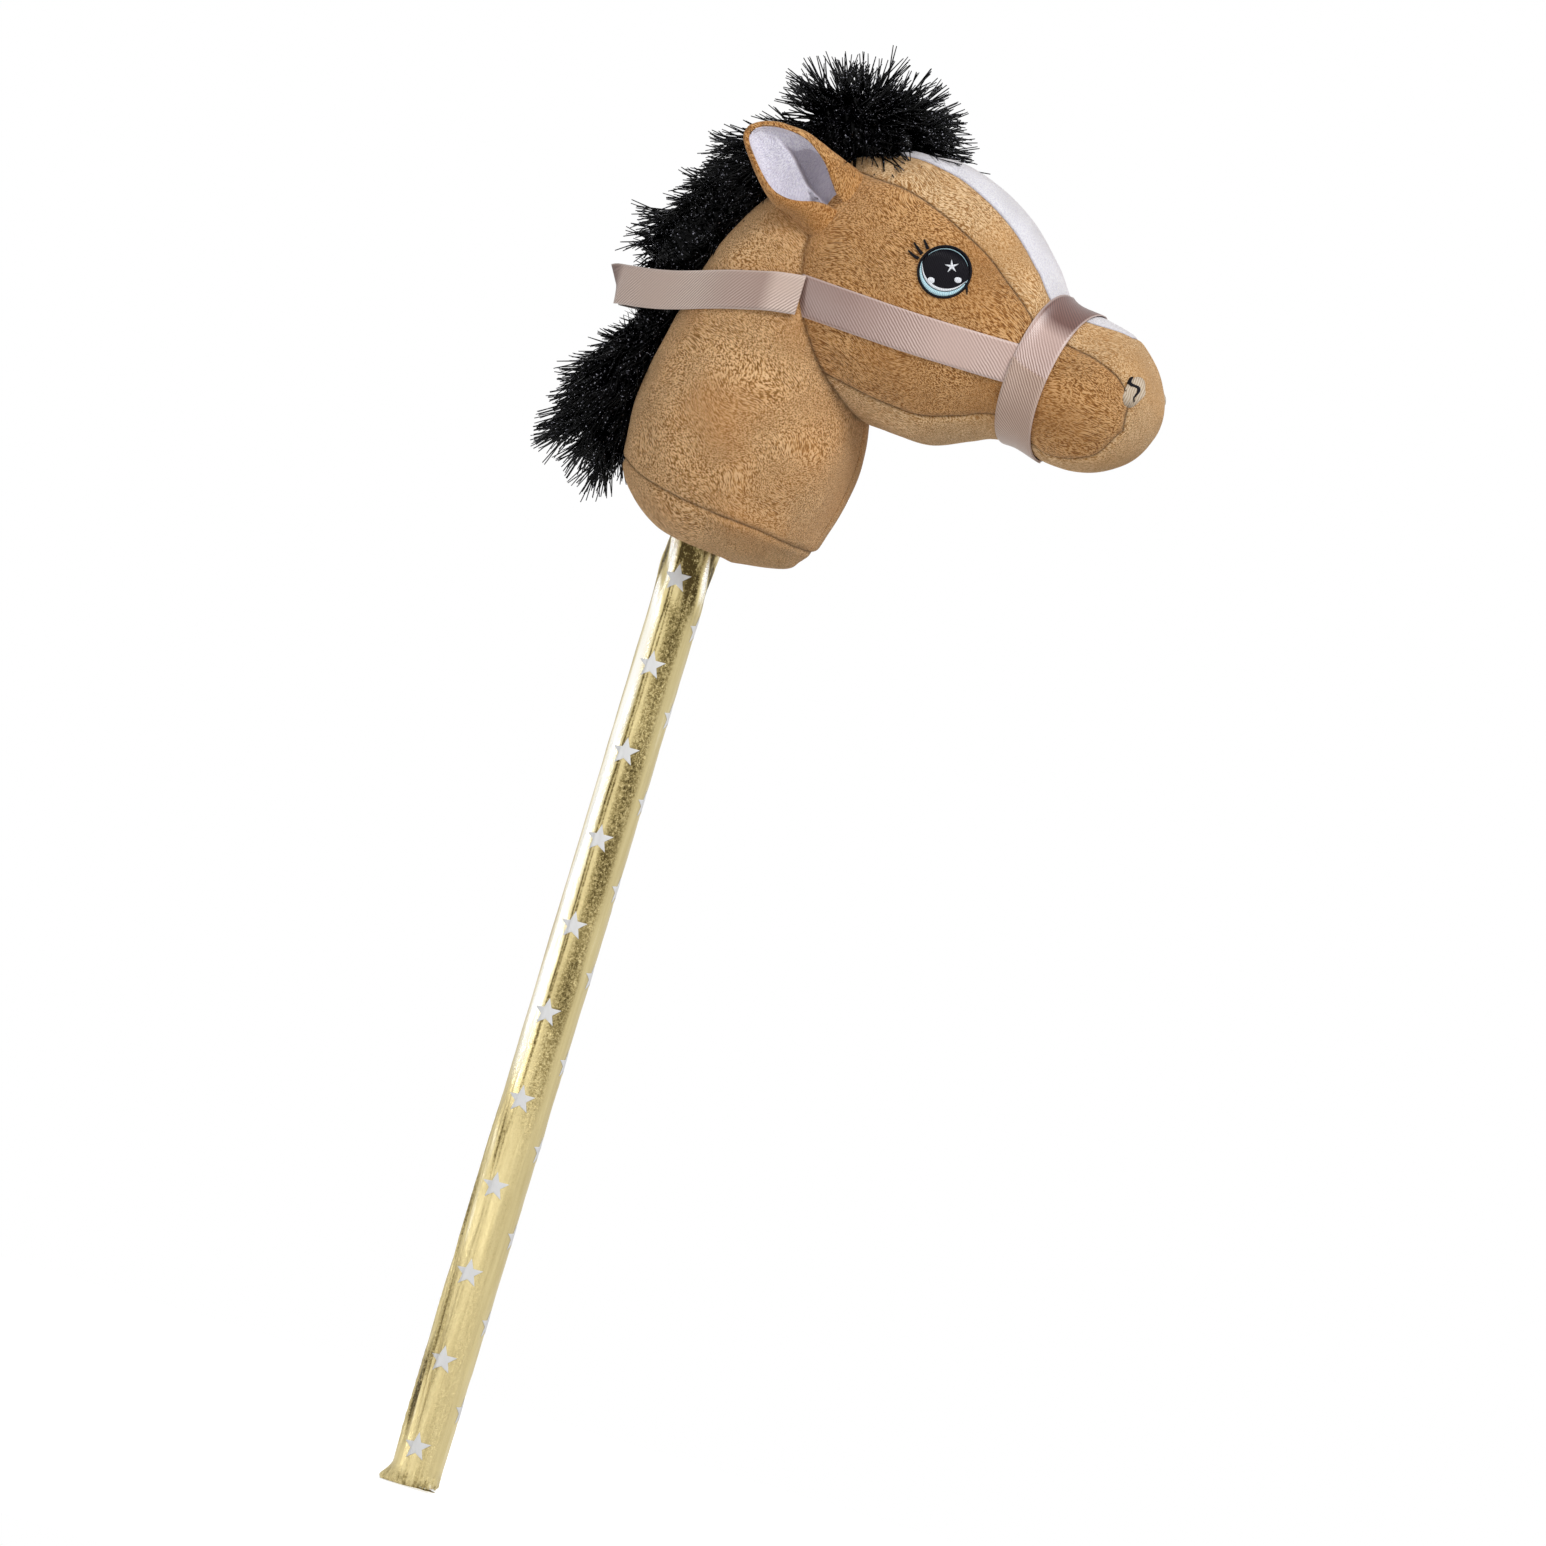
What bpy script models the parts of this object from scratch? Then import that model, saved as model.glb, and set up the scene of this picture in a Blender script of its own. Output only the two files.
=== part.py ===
"""Hobby horse: a stuffed plush horse head and neck on a wooden stick in a gold cloth sleeve.

The stick stands along +Z with the centre of its foot at the origin. The head faces +X, and the horse's own
right side faces -Y. Every length is in metres, apart from the outlines, which are drawn in millimetres and
then stretched to the real sizes below.
"""

import math
from collections import namedtuple

import bmesh
import bpy
from mathutils import Matrix, Vector

# Real sizes of the stick and its sleeve
STICK_DIAMETER = 0.025
HANDLE_LENGTH = 0.508
STICK_INSERT = 0.135
SLEEVE_INSERT = 0.060
SLEEVE_WALL = 0.00075
SLEEVE_EASE = 0.0005
FOOT_DISC_THICKNESS = 0.0012
FOOT_PAD_THICKNESS = 0.003
CAP_WALL = 0.0012
CAP_DEPTH = 0.022

# Real sizes of the stuffed neck and head
NECK_HEIGHT = 0.214
NECK_DEPTH = 0.123
NECK_WIDTH = 0.114
HEAD_LENGTH = 0.236
HEAD_DEPTH = 0.146
HEAD_WIDTH = 0.106
PLUSH_THICKNESS = 0.002

# Real sizes of the ears, the trim and the hair
EAR_LENGTH = 0.063
EAR_WIDTH = 0.042
EAR_PLUSH = 0.0018
EAR_LINING = 0.001
EAR_HINGE_DROP = 0.002
EAR_HINGE_OUT = 0.010
EYE_DIAMETER = 0.028
EMBROIDERY_THICKNESS = 0.0008
NOSTRIL_WIDTH = 0.009
NOSTRIL_HEIGHT = 0.016
NOSEBAND_BOW = 0.0045
REIN_STANDOFF = 0.002
REIN_END_WIDTH = 0.009
RIBBON_WIDTH = 0.021
RIBBON_THICKNESS = 0.0008
MANE_WIDTH = 0.044
FORELOCK_WIDTH = 0.050

# Gaps between pieces that touch
GAP = 0.0003
SEAM_GAP = 0.0004
SKIN_GAP = 0.0004
STUFFING_GAP = 0.0011
ENVELOPE_GAP = 0.0005

# Fineness of the surfaces
TURNED_SIDES = 32
BODY_SIDES = 28
BODY_ROWS = 24
CUTTER_SIDES = 40
CUTTER_ROWS = 52
NECK_ROWS = 15
EAR_ROWS = 9
EAR_COLUMNS = 9
FUR_SIDES = 16
FORELOCK_ROWS = 10
MANE_ROWS = 16

Section = namedtuple("Section", "front back half_width squareness")
Paint = namedtuple("Paint", "colour roughness metallic")

TAN_PLUSH = Paint((0.48, 0.22, 0.065), 0.95, 0.0)
WHITE_PLUSH = Paint((0.82, 0.79, 0.88), 0.95, 0.0)
BLACK_FUR = Paint((0.008, 0.008, 0.012), 0.5, 0.0)
GOLD_CLOTH = Paint((0.70, 0.55, 0.27), 0.3, 0.9)
RIBBON_SATIN = Paint((0.34, 0.21, 0.185), 0.4, 0.0)
BARE_WOOD = Paint((0.60, 0.43, 0.25), 0.6, 0.0)
WHITE_PLASTIC = Paint((0.80, 0.80, 0.78), 0.4, 0.0)
STUFFING_WHITE = Paint((0.88, 0.87, 0.84), 1.0, 0.0)
EYE_THREAD = Paint((0.02, 0.03, 0.05), 0.6, 0.0)
NOSTRIL_THREAD = Paint((0.62, 0.56, 0.50), 0.7, 0.0)

# The neck from its underside to its crown, drawn in mm from the stick's axis and the neck's lowest point.
# Each section joins its front and its back, both as (x, z).
NECK_DRAWN = Vector((123.0, 114.0, 214.0))
NECK_SECTIONS = [
    Section((22, 0), (22, 0), 0, 2.2),
    Section((48, 5), (-4, 2), 28, 2.2),
    Section((60, 11), (-22, 8), 42, 2.2),
    Section((66, 17), (-36, 18), 51, 2.2),
    Section((70, 26), (-46, 31), 55, 2.2),
    Section((73, 45), (-49, 48), 57, 2.2),
    Section((73, 67), (-50, 65), 57, 2.2),
    Section((69, 91), (-48, 84), 55, 2.2),
    Section((62, 115), (-44, 104), 52, 2.2),
    Section((54, 139), (-39, 126), 50, 2.3),
    Section((48, 164), (-30, 157), 48, 2.3),
    Section((45, 189), (-15, 184), 44, 2.3),
    Section((42, 208), (4, 202), 32, 2.2),
    Section((26, 214), (26, 214), 0, 2.2),
]
NECK_BASE_SEAM = 4.0

# The head from its hidden rear to the tip of the nose, drawn in mm from the neck's crown.
# Each section joins the top of the head and the jaw, both as (x, z).
HEAD_DRAWN = Vector((236.0, 106.0, 146.0))
HEAD_SECTIONS = [
    Section((-28, -62), (-28, -62), 0, 2.2),
    Section((-29, -38), (-12, -88), 26, 2.2),
    Section((-24, -15), (0, -109), 39, 2.2),
    Section((-8, 2), (19, -120), 48, 2.3),
    Section((14, 14), (39, -124), 53, 2.4),
    Section((38, 20), (61, -126), 53, 2.4),
    Section((67, 17), (80, -126), 51, 2.4),
    Section((96, 5), (98, -119), 47, 2.3),
    Section((119, -13), (110, -114), 42, 2.2),
    Section((135, -29), (124, -113), 38, 2.2),
    Section((153, -33), (144, -118), 38, 2.2),
    Section((170, -38), (165, -117), 37, 2.2),
    Section((184, -49), (184, -107), 31, 2.2),
    Section((192, -62), (194, -93), 19, 2.1),
    Section((198, -77), (198, -77), 0, 2.1),
]

# Heights of the two long face seams as a share of the half depth above or below the middle of each section.
# Past NOSE_SEAM the strip between them goes right round the nose.
UPPER_SEAM = [(1, 0.97), (3, 0.90), (3.8, 0.81), (4.3, 0.74), (5, 0.68), (6.2, 0.575), (6.8, 0.54), (7.4, 0.50),
              (8.2, 0.50), (9.8, 0.51), (10.4, 0.51), (11, 0.47), (11.5, 0.42), (12.2, 0.25), (14, 0.25)]
LOWER_SEAM = [(1, -0.72), (3, -0.75), (4.1, -0.79), (4.9, -0.82), (7.1, -0.83), (7.8, -0.80), (8.5, -0.77),
              (9.2, -0.84), (9.8, -0.90), (10.2, -0.91), (11, -0.86), (11.5, -0.80), (12.2, -0.50), (14, -0.50)]
NOSE_SEAM = 12.2
HEAD_START = 1.0

# Half widths in mm of the blaze, along the head
BLAZE_EDGE = [(3.6, 18), (4.6, 24), (5.4, 27), (6.2, 28), (7, 27), (8, 24.5), (8.7, 23), (9.4, 21), (10, 18.5),
              (10.5, 15), (10.9, 10), (11.1, 6)]

# Places on the head in mm, as (x, z) from the neck's crown
EYE_PLACE = (74, -39)
NOSTRIL_PLACE = (183, -70)
NOSEBAND_TOP = (140, -34)
NOSEBAND_BOTTOM = (129, -114)
STRAP_ROUTE = [(4, -71.5), (64, -74), (128, -74)]
REIN_PIVOT = (3, -71)

# The rein loop's route on the right side, in mm in the neck's own drawing, as (x, y, z)
REIN_ROUTE = [
    (16, -51.7, 140.5),
    (5, -51.4, 138),
    (-8, -49.4, 135),
    (-20, -44.4, 132),
    (-32, -37.0, 129),
    (-46, -28.5, 126),
    (-60, -19.5, 124),
    (-72, -11.5, 123),
    (-79, -4.5, 122.5),
    (-80.5, 0.0, 122.5),
]

# The fur, drawn in mm. The mane is in the neck's drawing and the forelock in the head's.
MANE_SECTIONS = [
    Section((-62, 12), (-62, 12), 0, 2.2),
    Section((-80, 19), (-44, 24), 15, 2.3),
    Section((-92, 40), (-40, 44), 20, 2.4),
    Section((-94, 67), (-40, 67), 22, 2.4),
    Section((-86, 90), (-38, 90), 21, 2.3),
    Section((-72, 106), (-35, 108), 15, 2.2),
    Section((-66, 122), (-30, 126), 13, 2.2),
    Section((-68, 142), (-26, 147), 18, 2.3),
    Section((-66, 162), (-20, 165), 22, 2.4),
    Section((-53, 190), (-10, 184), 22, 2.4),
    Section((-36, 220), (6, 199), 22, 2.4),
    Section((-16, 242), (20, 208), 20, 2.3),
    Section((6, 240), (6, 240), 0, 2.2),
]
FORELOCK_SECTIONS = [
    Section((-34, 24), (-34, 24), 0, 2.2),
    Section((-30, 46), (-24, -4), 18, 2.3),
    Section((-11, 57), (-8, 0), 24, 2.4),
    Section((14, 59), (14, 10), 25, 2.4),
    Section((36, 53), (34, 16), 22, 2.3),
    Section((49, 42), (44, 20), 14, 2.2),
    Section((53, 28), (53, 28), 0, 2.2),
]
FUR_DRAWN_WIDTH = 22.0
FORELOCK_DRAWN_WIDTH = 25.0

# The right ear, in mm from the neck's crown in the head's drawing, as (x, y, z)
EAR_BASE_FRONT = Vector((13, -36, -1))
EAR_BASE_REAR = Vector((-5, -45, -40))
EAR_TIP = Vector((-47, -70, 4))

# The ear's cupped sections in mm, along its length: its shift to the front, half width, depth, and the angle
# from its back at which the two rims stand
EarSection = namedtuple("EarSection", "share shift half_width depth spread")
EAR_DRAWN_WIDTH = 42.0
EAR_SECTIONS = [
    EarSection(-0.30, 0.0, 17.5, 6.0, 174),
    EarSection(0.0, 0.0, 19.0, 7.0, 172),
    EarSection(0.16, 1.0, 17.8, 8.0, 158),
    EarSection(0.30, 1.0, 18.0, 9.0, 138),
    EarSection(0.42, 1.0, 18.2, 9.5, 126),
    EarSection(0.55, 2.0, 17.0, 9.0, 114),
    EarSection(0.70, 3.0, 13.5, 7.5, 108),
    EarSection(0.85, 4.0, 9.0, 5.5, 106),
    EarSection(0.95, 3.3, 4.5, 3.5, 104),
    EarSection(1.0, 2.5, 2.0, 2.0, 100),
]


def clear_scene():
    for obj in list(bpy.data.objects):
        bpy.data.objects.remove(obj)


def bend(start, start_slope, end, end_slope, share, length):
    """Reads a cubic between two values that leaves and arrives at the given slopes."""
    return (
        start * (2 * share**3 - 3 * share**2 + 1)
        + start_slope * length * (share**3 - 2 * share**2 + share)
        + end * (3 * share**2 - 2 * share**3)
        + end_slope * length * (share**3 - share**2)
    )


def smooth_value(table, place):
    """Reads a smooth curve through (place, value) pairs."""
    last = len(table) - 1
    place = min(max(place, table[0][0]), table[last][0])
    index = max(i for i in range(last) if table[i][0] <= place)

    def slope(i):
        low, high = max(i - 1, 0), min(i + 1, last)
        return (table[high][1] - table[low][1]) / (table[high][0] - table[low][0])

    length = table[index + 1][0] - table[index][0]
    share = (place - table[index][0]) / length
    return bend(table[index][1], slope(index), table[index + 1][1], slope(index + 1), share, length)


def through(values, place):
    """Reads a Catmull-Rom curve through evenly numbered values."""
    index = min(int(place), len(values) - 2)
    share = place - index
    here, there = values[index], values[index + 1]
    before = values[index - 1] if index > 0 else here * 2 - there
    after = values[index + 2] if index + 2 < len(values) else there * 2 - here
    return bend(here, (there - before) * 0.5, there, (after - here) * 0.5, share, 1.0)


class Drawing:
    """Stretches points drawn in millimetres to the real sizes, about one fixed point."""

    def __init__(self, origin, drawn, real):
        self.origin = Vector(origin)
        self.stretch = Vector(real[axis] / drawn[axis] for axis in range(3))

    def place(self, x, z, y=0.0):
        return self.origin + Vector((x * self.stretch.x, y * self.stretch.y, z * self.stretch.z))


class Loft:
    """A rounded body through oval sections, each square to the XZ plane."""

    def __init__(self, drawing, sections, width_factor=1.0):
        self.fronts = [drawing.place(*section.front) for section in sections]
        self.backs = [drawing.place(*section.back) for section in sections]
        self.widths = [section.half_width * drawing.stretch.y * width_factor for section in sections]
        self.squares = [section.squareness for section in sections]
        self.last = len(sections) - 1

    def frame(self, place):
        front = through(self.fronts, place)
        back = through(self.backs, place)
        half_width = max(through(self.widths, place), 0.0)
        return (front + back) / 2, (front - back) / 2, half_width, through(self.squares, place)

    def point(self, place, angle):
        """The surface at an angle from the right side (0) over the front or top (90 degrees) to the left."""
        middle, rise, half_width, square = self.frame(place)
        across, up = math.cos(angle), math.sin(angle)
        reach = (abs(across) ** square + abs(up) ** square) ** (-1 / square)
        return middle + rise * (up * reach) + Vector((0, -half_width * across * reach, 0))

    def normal(self, place, angle):
        step = 0.002
        low, high = max(place - step, 0.0), min(place + step, float(self.last))
        along = self.point(high, angle) - self.point(low, angle)
        around = self.point(place, angle + step) - self.point(place, angle - step)
        out = along.cross(around)
        if out.length < 1e-12:
            out = self.frame(place)[0] - self.frame(self.last / 2)[0]
        out.normalize()
        outward = self.point(place, angle) - self.frame(place)[0]
        if outward.length > 1e-9 and out.dot(outward) < 0:
            out = -out
        return out

    def offset_point(self, place, angle, offset):
        return self.point(place, angle) + self.normal(place, angle) * offset

    def angle_at(self, place, share):
        """The angle at which the surface stands at this share of the half depth."""
        square = self.frame(place)[3]
        level = min(abs(share), 1.0)
        across = (1 - level**square) ** (1 / square)
        return math.copysign(math.atan2(level, across), share)

    def angle_at_width(self, place, half_width):
        """The angle on the top right at which the surface stands this far from the middle plane."""
        widest, square = self.frame(place)[2:]
        across = min(half_width / widest, 1.0)
        return math.atan2((1 - across**square) ** (1 / square), across)

    def on_side(self, x, z, low=1.0):
        """Finds the place and angle whose side view stands at x, z."""
        target = Vector((x, 0, z))
        high = float(self.last) - 0.2
        for _ in range(40):
            place = (low + high) / 2
            middle, rise = self.frame(place)[:2]
            reach = target - middle
            if rise.x * reach.z - rise.z * reach.x > 0:
                high = place
            else:
                low = place
        middle, rise = self.frame(place)[:2]
        share = (target - middle).dot(rise) / rise.length_squared
        return place, self.angle_at(place, share)


def evenly(start, end, count):
    return [start + (end - start) * index / (count - 1) for index in range(count)]


def mirrored(points, side):
    """Copies rows of points to the horse's left side when side is 1."""
    if side < 0:
        return points
    return [[Vector((point.x, -point.y, point.z)) for point in row] for row in points]


def grid(points, inside):
    """Makes a sheet of faces through rows of points, facing away from a point inside."""
    mesh = bmesh.new()
    rows = [[mesh.verts.new(point) for point in row] for row in points]
    for row, following in zip(rows, rows[1:]):
        for column in range(len(row) - 1):
            mesh.faces.new((row[column], row[column + 1], following[column + 1], following[column]))
    face_away(mesh, inside)
    return mesh


def face_away(mesh, inside):
    mesh.normal_update()
    outward = sum(face.normal.dot(face.calc_center_median() - inside) * face.calc_area() for face in mesh.faces)
    if outward < 0:
        bmesh.ops.reverse_faces(mesh, faces=mesh.faces)


def loft_shell(loft, strips, outer, inner, side=-1):
    """Makes a closed shell over strips of (place, angle) spots, between two offsets from a loft's surface."""
    outside = [[[loft.offset_point(*spot, outer) for spot in row] for row in strip] for strip in strips]
    under = [[[loft.offset_point(*spot, inner) for spot in row] for row in strip] for strip in strips]
    return shell_between(outside, under, loft.frame(loft.last / 2)[0], side)


def shell_between(outside, under, inside, side=-1):
    """Makes one closed shell from strips of points on its outer face and the same strips on its inner face."""
    mesh = bmesh.new()
    for outer_rows, inner_rows in zip(outside, under):
        sheet = grid(mirrored(outer_rows, side), mirrored([[inside]], side)[0][0])
        bmesh.ops.triangulate(sheet, faces=sheet.faces, quad_method="FIXED")
        layer = sheet.verts.layers.float_vector.new("under")
        inner_points = [point for row in mirrored(inner_rows, side) for point in row]
        for vert, point in zip(sheet.verts, inner_points):
            vert[layer] = point
        strip = bpy.data.meshes.new("strip")
        sheet.to_mesh(strip)
        sheet.free()
        mesh.from_mesh(strip)
        bpy.data.meshes.remove(strip)
    bmesh.ops.remove_doubles(mesh, verts=mesh.verts, dist=1e-6)
    return close_shell(mesh)


def close_shell(mesh):
    """Adds the inner faces of a sheet, and the rim between both."""
    layer = mesh.verts.layers.float_vector["under"]
    outer_faces = list(mesh.faces)
    rim = [edge for edge in mesh.edges if len(edge.link_faces) == 1]
    under = {vert: mesh.verts.new(vert[layer]) for vert in list(mesh.verts)}
    for face in outer_faces:
        mesh.faces.new([under[vert] for vert in reversed(face.verts)])
    for edge in rim:
        face = edge.link_faces[0]
        corners = list(face.verts)
        first = corners.index(edge.verts[0])
        forward = corners[(first + 1) % len(corners)] == edge.verts[1]
        start, end = edge.verts if forward else reversed(edge.verts)
        mesh.faces.new((end, start, under[start], under[end]))
    return mesh


def painted(paint, name):
    material = bpy.data.materials.new(name)
    material.use_nodes = True
    shader = material.node_tree.nodes["Principled BSDF"]
    shader.inputs["Base Color"].default_value = (*paint.colour, 1.0)
    shader.inputs["Roughness"].default_value = paint.roughness
    shader.inputs["Metallic"].default_value = paint.metallic
    return material


def add_piece(name, mesh, paint):
    """Puts a mesh in the scene as one named piece with its own material."""
    data = bpy.data.meshes.new(name)
    mesh.to_mesh(data)
    mesh.free()
    data.materials.append(painted(paint, name))
    data.shade_smooth()
    data.set_sharp_from_angle(angle=math.radians(40))
    piece = bpy.data.objects.new(name, data)
    bpy.context.scene.collection.objects.link(piece)
    return piece


def add_cutter(name, mesh):
    data = bpy.data.meshes.new(name)
    mesh.to_mesh(data)
    mesh.free()
    cutter = bpy.data.objects.new(name, data)
    bpy.context.scene.collection.objects.link(cutter)
    cutter.hide_render = True
    cutter.display_type = "WIRE"
    return cutter


def thicken(piece, thickness, direction):
    """Gives a sheet its thickness, outward for direction 1 and inward for -1."""
    solidify = piece.modifiers.new("thickness", "SOLIDIFY")
    solidify.thickness = thickness
    solidify.offset = direction
    solidify.use_even_offset = True
    return piece


def hang(name, place, pieces):
    """Hangs pieces from an empty that stands on the axis they turn about."""
    hinge = bpy.data.objects.new(name, None)
    bpy.context.collection.objects.link(hinge)
    hinge.location = place
    for piece in pieces:
        piece.parent = hinge
        piece.matrix_parent_inverse = Matrix.Translation(-place)


def cut(piece, *cutters):
    for cutter in cutters:
        boolean = piece.modifiers.new("cut by " + cutter.name, "BOOLEAN")
        boolean.operation = "DIFFERENCE"
        boolean.solver = "EXACT"
        boolean.object = cutter
    return piece


def turned(profile, sides=TURNED_SIDES):
    """Turns a closed outline of (radius, z) corners about the Z axis."""
    mesh = bmesh.new()
    rings = []
    for radius, z in profile:
        if radius == 0:
            rings.append([mesh.verts.new((0, 0, z))] * sides)
            continue
        turns = [2 * math.pi * side / sides for side in range(sides)]
        rings.append([mesh.verts.new((radius * math.cos(turn), radius * math.sin(turn), z)) for turn in turns])
    on_axis = profile[0][0] == 0 and profile[-1][0] == 0
    following = rings[1:] if on_axis else rings[1:] + rings[:1]
    for ring, after in zip(rings, following):
        for side in range(sides):
            turn = (side + 1) % sides
            corners = [ring[side], ring[turn], after[turn], after[side]]
            unique = list(dict.fromkeys(corners))
            mesh.faces.new(unique)
    bmesh.ops.recalc_face_normals(mesh, faces=mesh.faces)
    return mesh


def loft_solid(loft, offset, places, sides):
    """Closes a whole loft, moved in or out by an offset."""
    angles = [2 * math.pi * side / sides for side in range(sides)]
    mesh = bmesh.new()
    rings = []
    for place in places:
        rings.append([mesh.verts.new(loft.offset_point(place, angle, offset)) for angle in angles])
    for ring, after in zip(rings, rings[1:]):
        for side in range(sides):
            turn = (side + 1) % sides
            mesh.faces.new((ring[side], ring[turn], after[turn], after[side]))
    for end, ring in ((0.0, rings[0]), (float(loft.last), rings[-1])):
        pole = mesh.verts.new(loft.point(end, 0.0) + pole_direction(loft, end) * offset)
        for side in range(sides):
            mesh.faces.new((pole, ring[side], ring[(side + 1) % sides]))
    bmesh.ops.recalc_face_normals(mesh, faces=mesh.faces)
    bmesh.ops.triangulate(mesh, faces=mesh.faces)
    return mesh


def pole_direction(loft, end):
    inner = end + 0.5 if end == 0.0 else end - 0.5
    return (loft.point(end, 0.0) - loft.frame(inner)[0]).normalized()


def stick_radius():
    return STICK_DIAMETER / 2


def sleeve_bore():
    return stick_radius() + SLEEVE_EASE


def sleeve_radius():
    return sleeve_bore() + SLEEVE_WALL


def stick_bottom():
    return FOOT_DISC_THICKNESS + GAP + FOOT_PAD_THICKNESS + GAP


def stick_top():
    return HANDLE_LENGTH + STICK_INSERT


def sleeve_top():
    return HANDLE_LENGTH + SLEEVE_INSERT


def cap_radius():
    return stick_radius() + GAP + CAP_WALL


def make_stick():
    radius, bottom, top = stick_radius(), stick_bottom(), stick_top()
    return add_piece("stick", turned([(0, bottom), (radius, bottom), (radius, top), (0, top)]), BARE_WOOD)


def make_foot_pad():
    bottom = FOOT_DISC_THICKNESS + GAP
    top = bottom + FOOT_PAD_THICKNESS
    profile = [(0, bottom), (stick_radius(), bottom), (stick_radius(), top), (0, top)]
    return add_piece("stick_foot_pad", turned(profile), WHITE_PLASTIC)


def make_top_cap():
    inner, outer = stick_radius() + GAP, cap_radius()
    roof = stick_top() + GAP
    rim = stick_top() - CAP_DEPTH
    profile = [(0, roof + CAP_WALL), (outer, roof + CAP_WALL), (outer, rim), (inner, rim), (inner, roof), (0, roof)]
    return add_piece("stick_top_cap", turned(profile), WHITE_PLASTIC)


def make_sleeve():
    profile = [(sleeve_bore(), 0.0), (sleeve_radius(), 0.0), (sleeve_radius(), sleeve_top()),
               (sleeve_bore(), sleeve_top())]
    return add_piece("stick_sleeve", turned(profile), GOLD_CLOTH)


def make_foot_disc():
    radius = sleeve_bore() - GAP
    profile = [(0, 0.0), (radius, 0.0), (radius, FOOT_DISC_THICKNESS), (0, FOOT_DISC_THICKNESS)]
    return add_piece("sleeve_foot_disc", turned(profile), GOLD_CLOTH)


def make_stick_cutter():
    """The stepped space that the sleeve, the stick and its cap take up inside the neck."""
    below = HANDLE_LENGTH - 0.05
    sleeve, stick, cap = sleeve_radius() + GAP, stick_radius() + GAP, cap_radius() + GAP
    sleeve_end = sleeve_top() + GAP
    cap_start = stick_top() - CAP_DEPTH - GAP
    top = stick_top() + GAP + CAP_WALL + GAP
    profile = [(0, below), (sleeve, below), (sleeve, sleeve_end), (stick, sleeve_end), (stick, cap_start),
               (cap, cap_start), (cap, top), (0, top)]
    return add_cutter("stick_space", turned(profile))


def neck_drawing():
    real = Vector((NECK_DEPTH, NECK_WIDTH, NECK_HEIGHT))
    return Drawing((0, 0, HANDLE_LENGTH), NECK_DRAWN, real)


def head_drawing():
    real = Vector((HEAD_LENGTH, HEAD_WIDTH, HEAD_DEPTH))
    crown = neck_drawing().place(*NECK_SECTIONS[-1].front)
    return Drawing(crown, HEAD_DRAWN, real)


def neck_loft():
    return Loft(neck_drawing(), NECK_SECTIONS)


def head_loft():
    return Loft(head_drawing(), HEAD_SECTIONS)


def arc_angle(loft, place, angle, length):
    """The turn that moves a point on the surface by this length."""
    step = 0.01
    moved = loft.point(place, angle + step) - loft.point(place, angle - step)
    return length * 2 * step / moved.length


def make_neck_panel(name, side, neck, cutters):
    """One side of the neck, from the centre back seam to the centre front seam."""
    strip = []
    for place in evenly(NECK_BASE_SEAM, neck.last - 0.4, NECK_ROWS):
        back = -math.pi / 2 + arc_angle(neck, place, -math.pi / 2, SEAM_GAP / 2)
        front = math.pi / 2 - arc_angle(neck, place, math.pi / 2, SEAM_GAP / 2)
        strip.append([(place, angle) for angle in evenly(back, front, 14)])
    panel = add_piece(name, loft_shell(neck, [strip], 0.0, -PLUSH_THICKNESS, side), TAN_PLUSH)
    return cut(panel, *cutters)


def make_neck_base(neck, stick_space):
    """The neck's underside, a shallow dome with the hole for the stick."""
    seam = NECK_BASE_SEAM - place_step(neck, NECK_BASE_SEAM, SEAM_GAP)
    angles = evenly(-math.pi, math.pi, BODY_SIDES + 1)
    strip = [[(place, angle) for angle in angles] for place in evenly(0.0, seam, 6)]
    panel = add_piece("neck_base_panel", loft_shell(neck, [strip], 0.0, -PLUSH_THICKNESS), TAN_PLUSH)
    return cut(panel, stick_space)


def place_step(loft, place, length):
    """The step along a loft's numbering that moves every side of it by at least this length."""
    step = 0.05
    moved = min((loft.point(place, angle) - loft.point(place - step, angle)).length
                for angle in (-math.pi / 2, 0.0, math.pi / 2))
    return length * step / moved


def face_rows():
    """Rows along the face, closer together where the noseband draws the muzzle in."""
    return evenly(HEAD_START, 8.0, 13) + evenly(8.3, 10.4, 8) + evenly(10.85, NOSE_SEAM, 4)


def body_rows(loft, count):
    """Rows along a whole body between its two poles."""
    return evenly(0.0, float(loft.last), count)[1:-1]


def head_rows():
    return evenly(0.5, 8.0, 12) + evenly(8.4, 10.8, 8) + evenly(11.4, 13.6, 4)


def seam_angles(head, place):
    low = head.angle_at(place, smooth_value(LOWER_SEAM, place))
    top = head.angle_at(place, smooth_value(UPPER_SEAM, place))
    return low, top


def make_face_panel(name, side, head, cutters):
    """One side of the face, between the long seams and back to the neck."""
    rows = face_rows()
    rows[-1] -= place_step(head, NOSE_SEAM, SEAM_GAP)
    strip = []
    for place in rows:
        low, top = seam_angles(head, place)
        low += arc_angle(head, place, low, SEAM_GAP)
        top -= arc_angle(head, place, top, SEAM_GAP)
        strip.append([(place, angle) for angle in evenly(low, top, 10)])
    panel = add_piece(name, loft_shell(head, [strip], 0.0, -PLUSH_THICKNESS, side), TAN_PLUSH)
    return cut(panel, *cutters)


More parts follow.
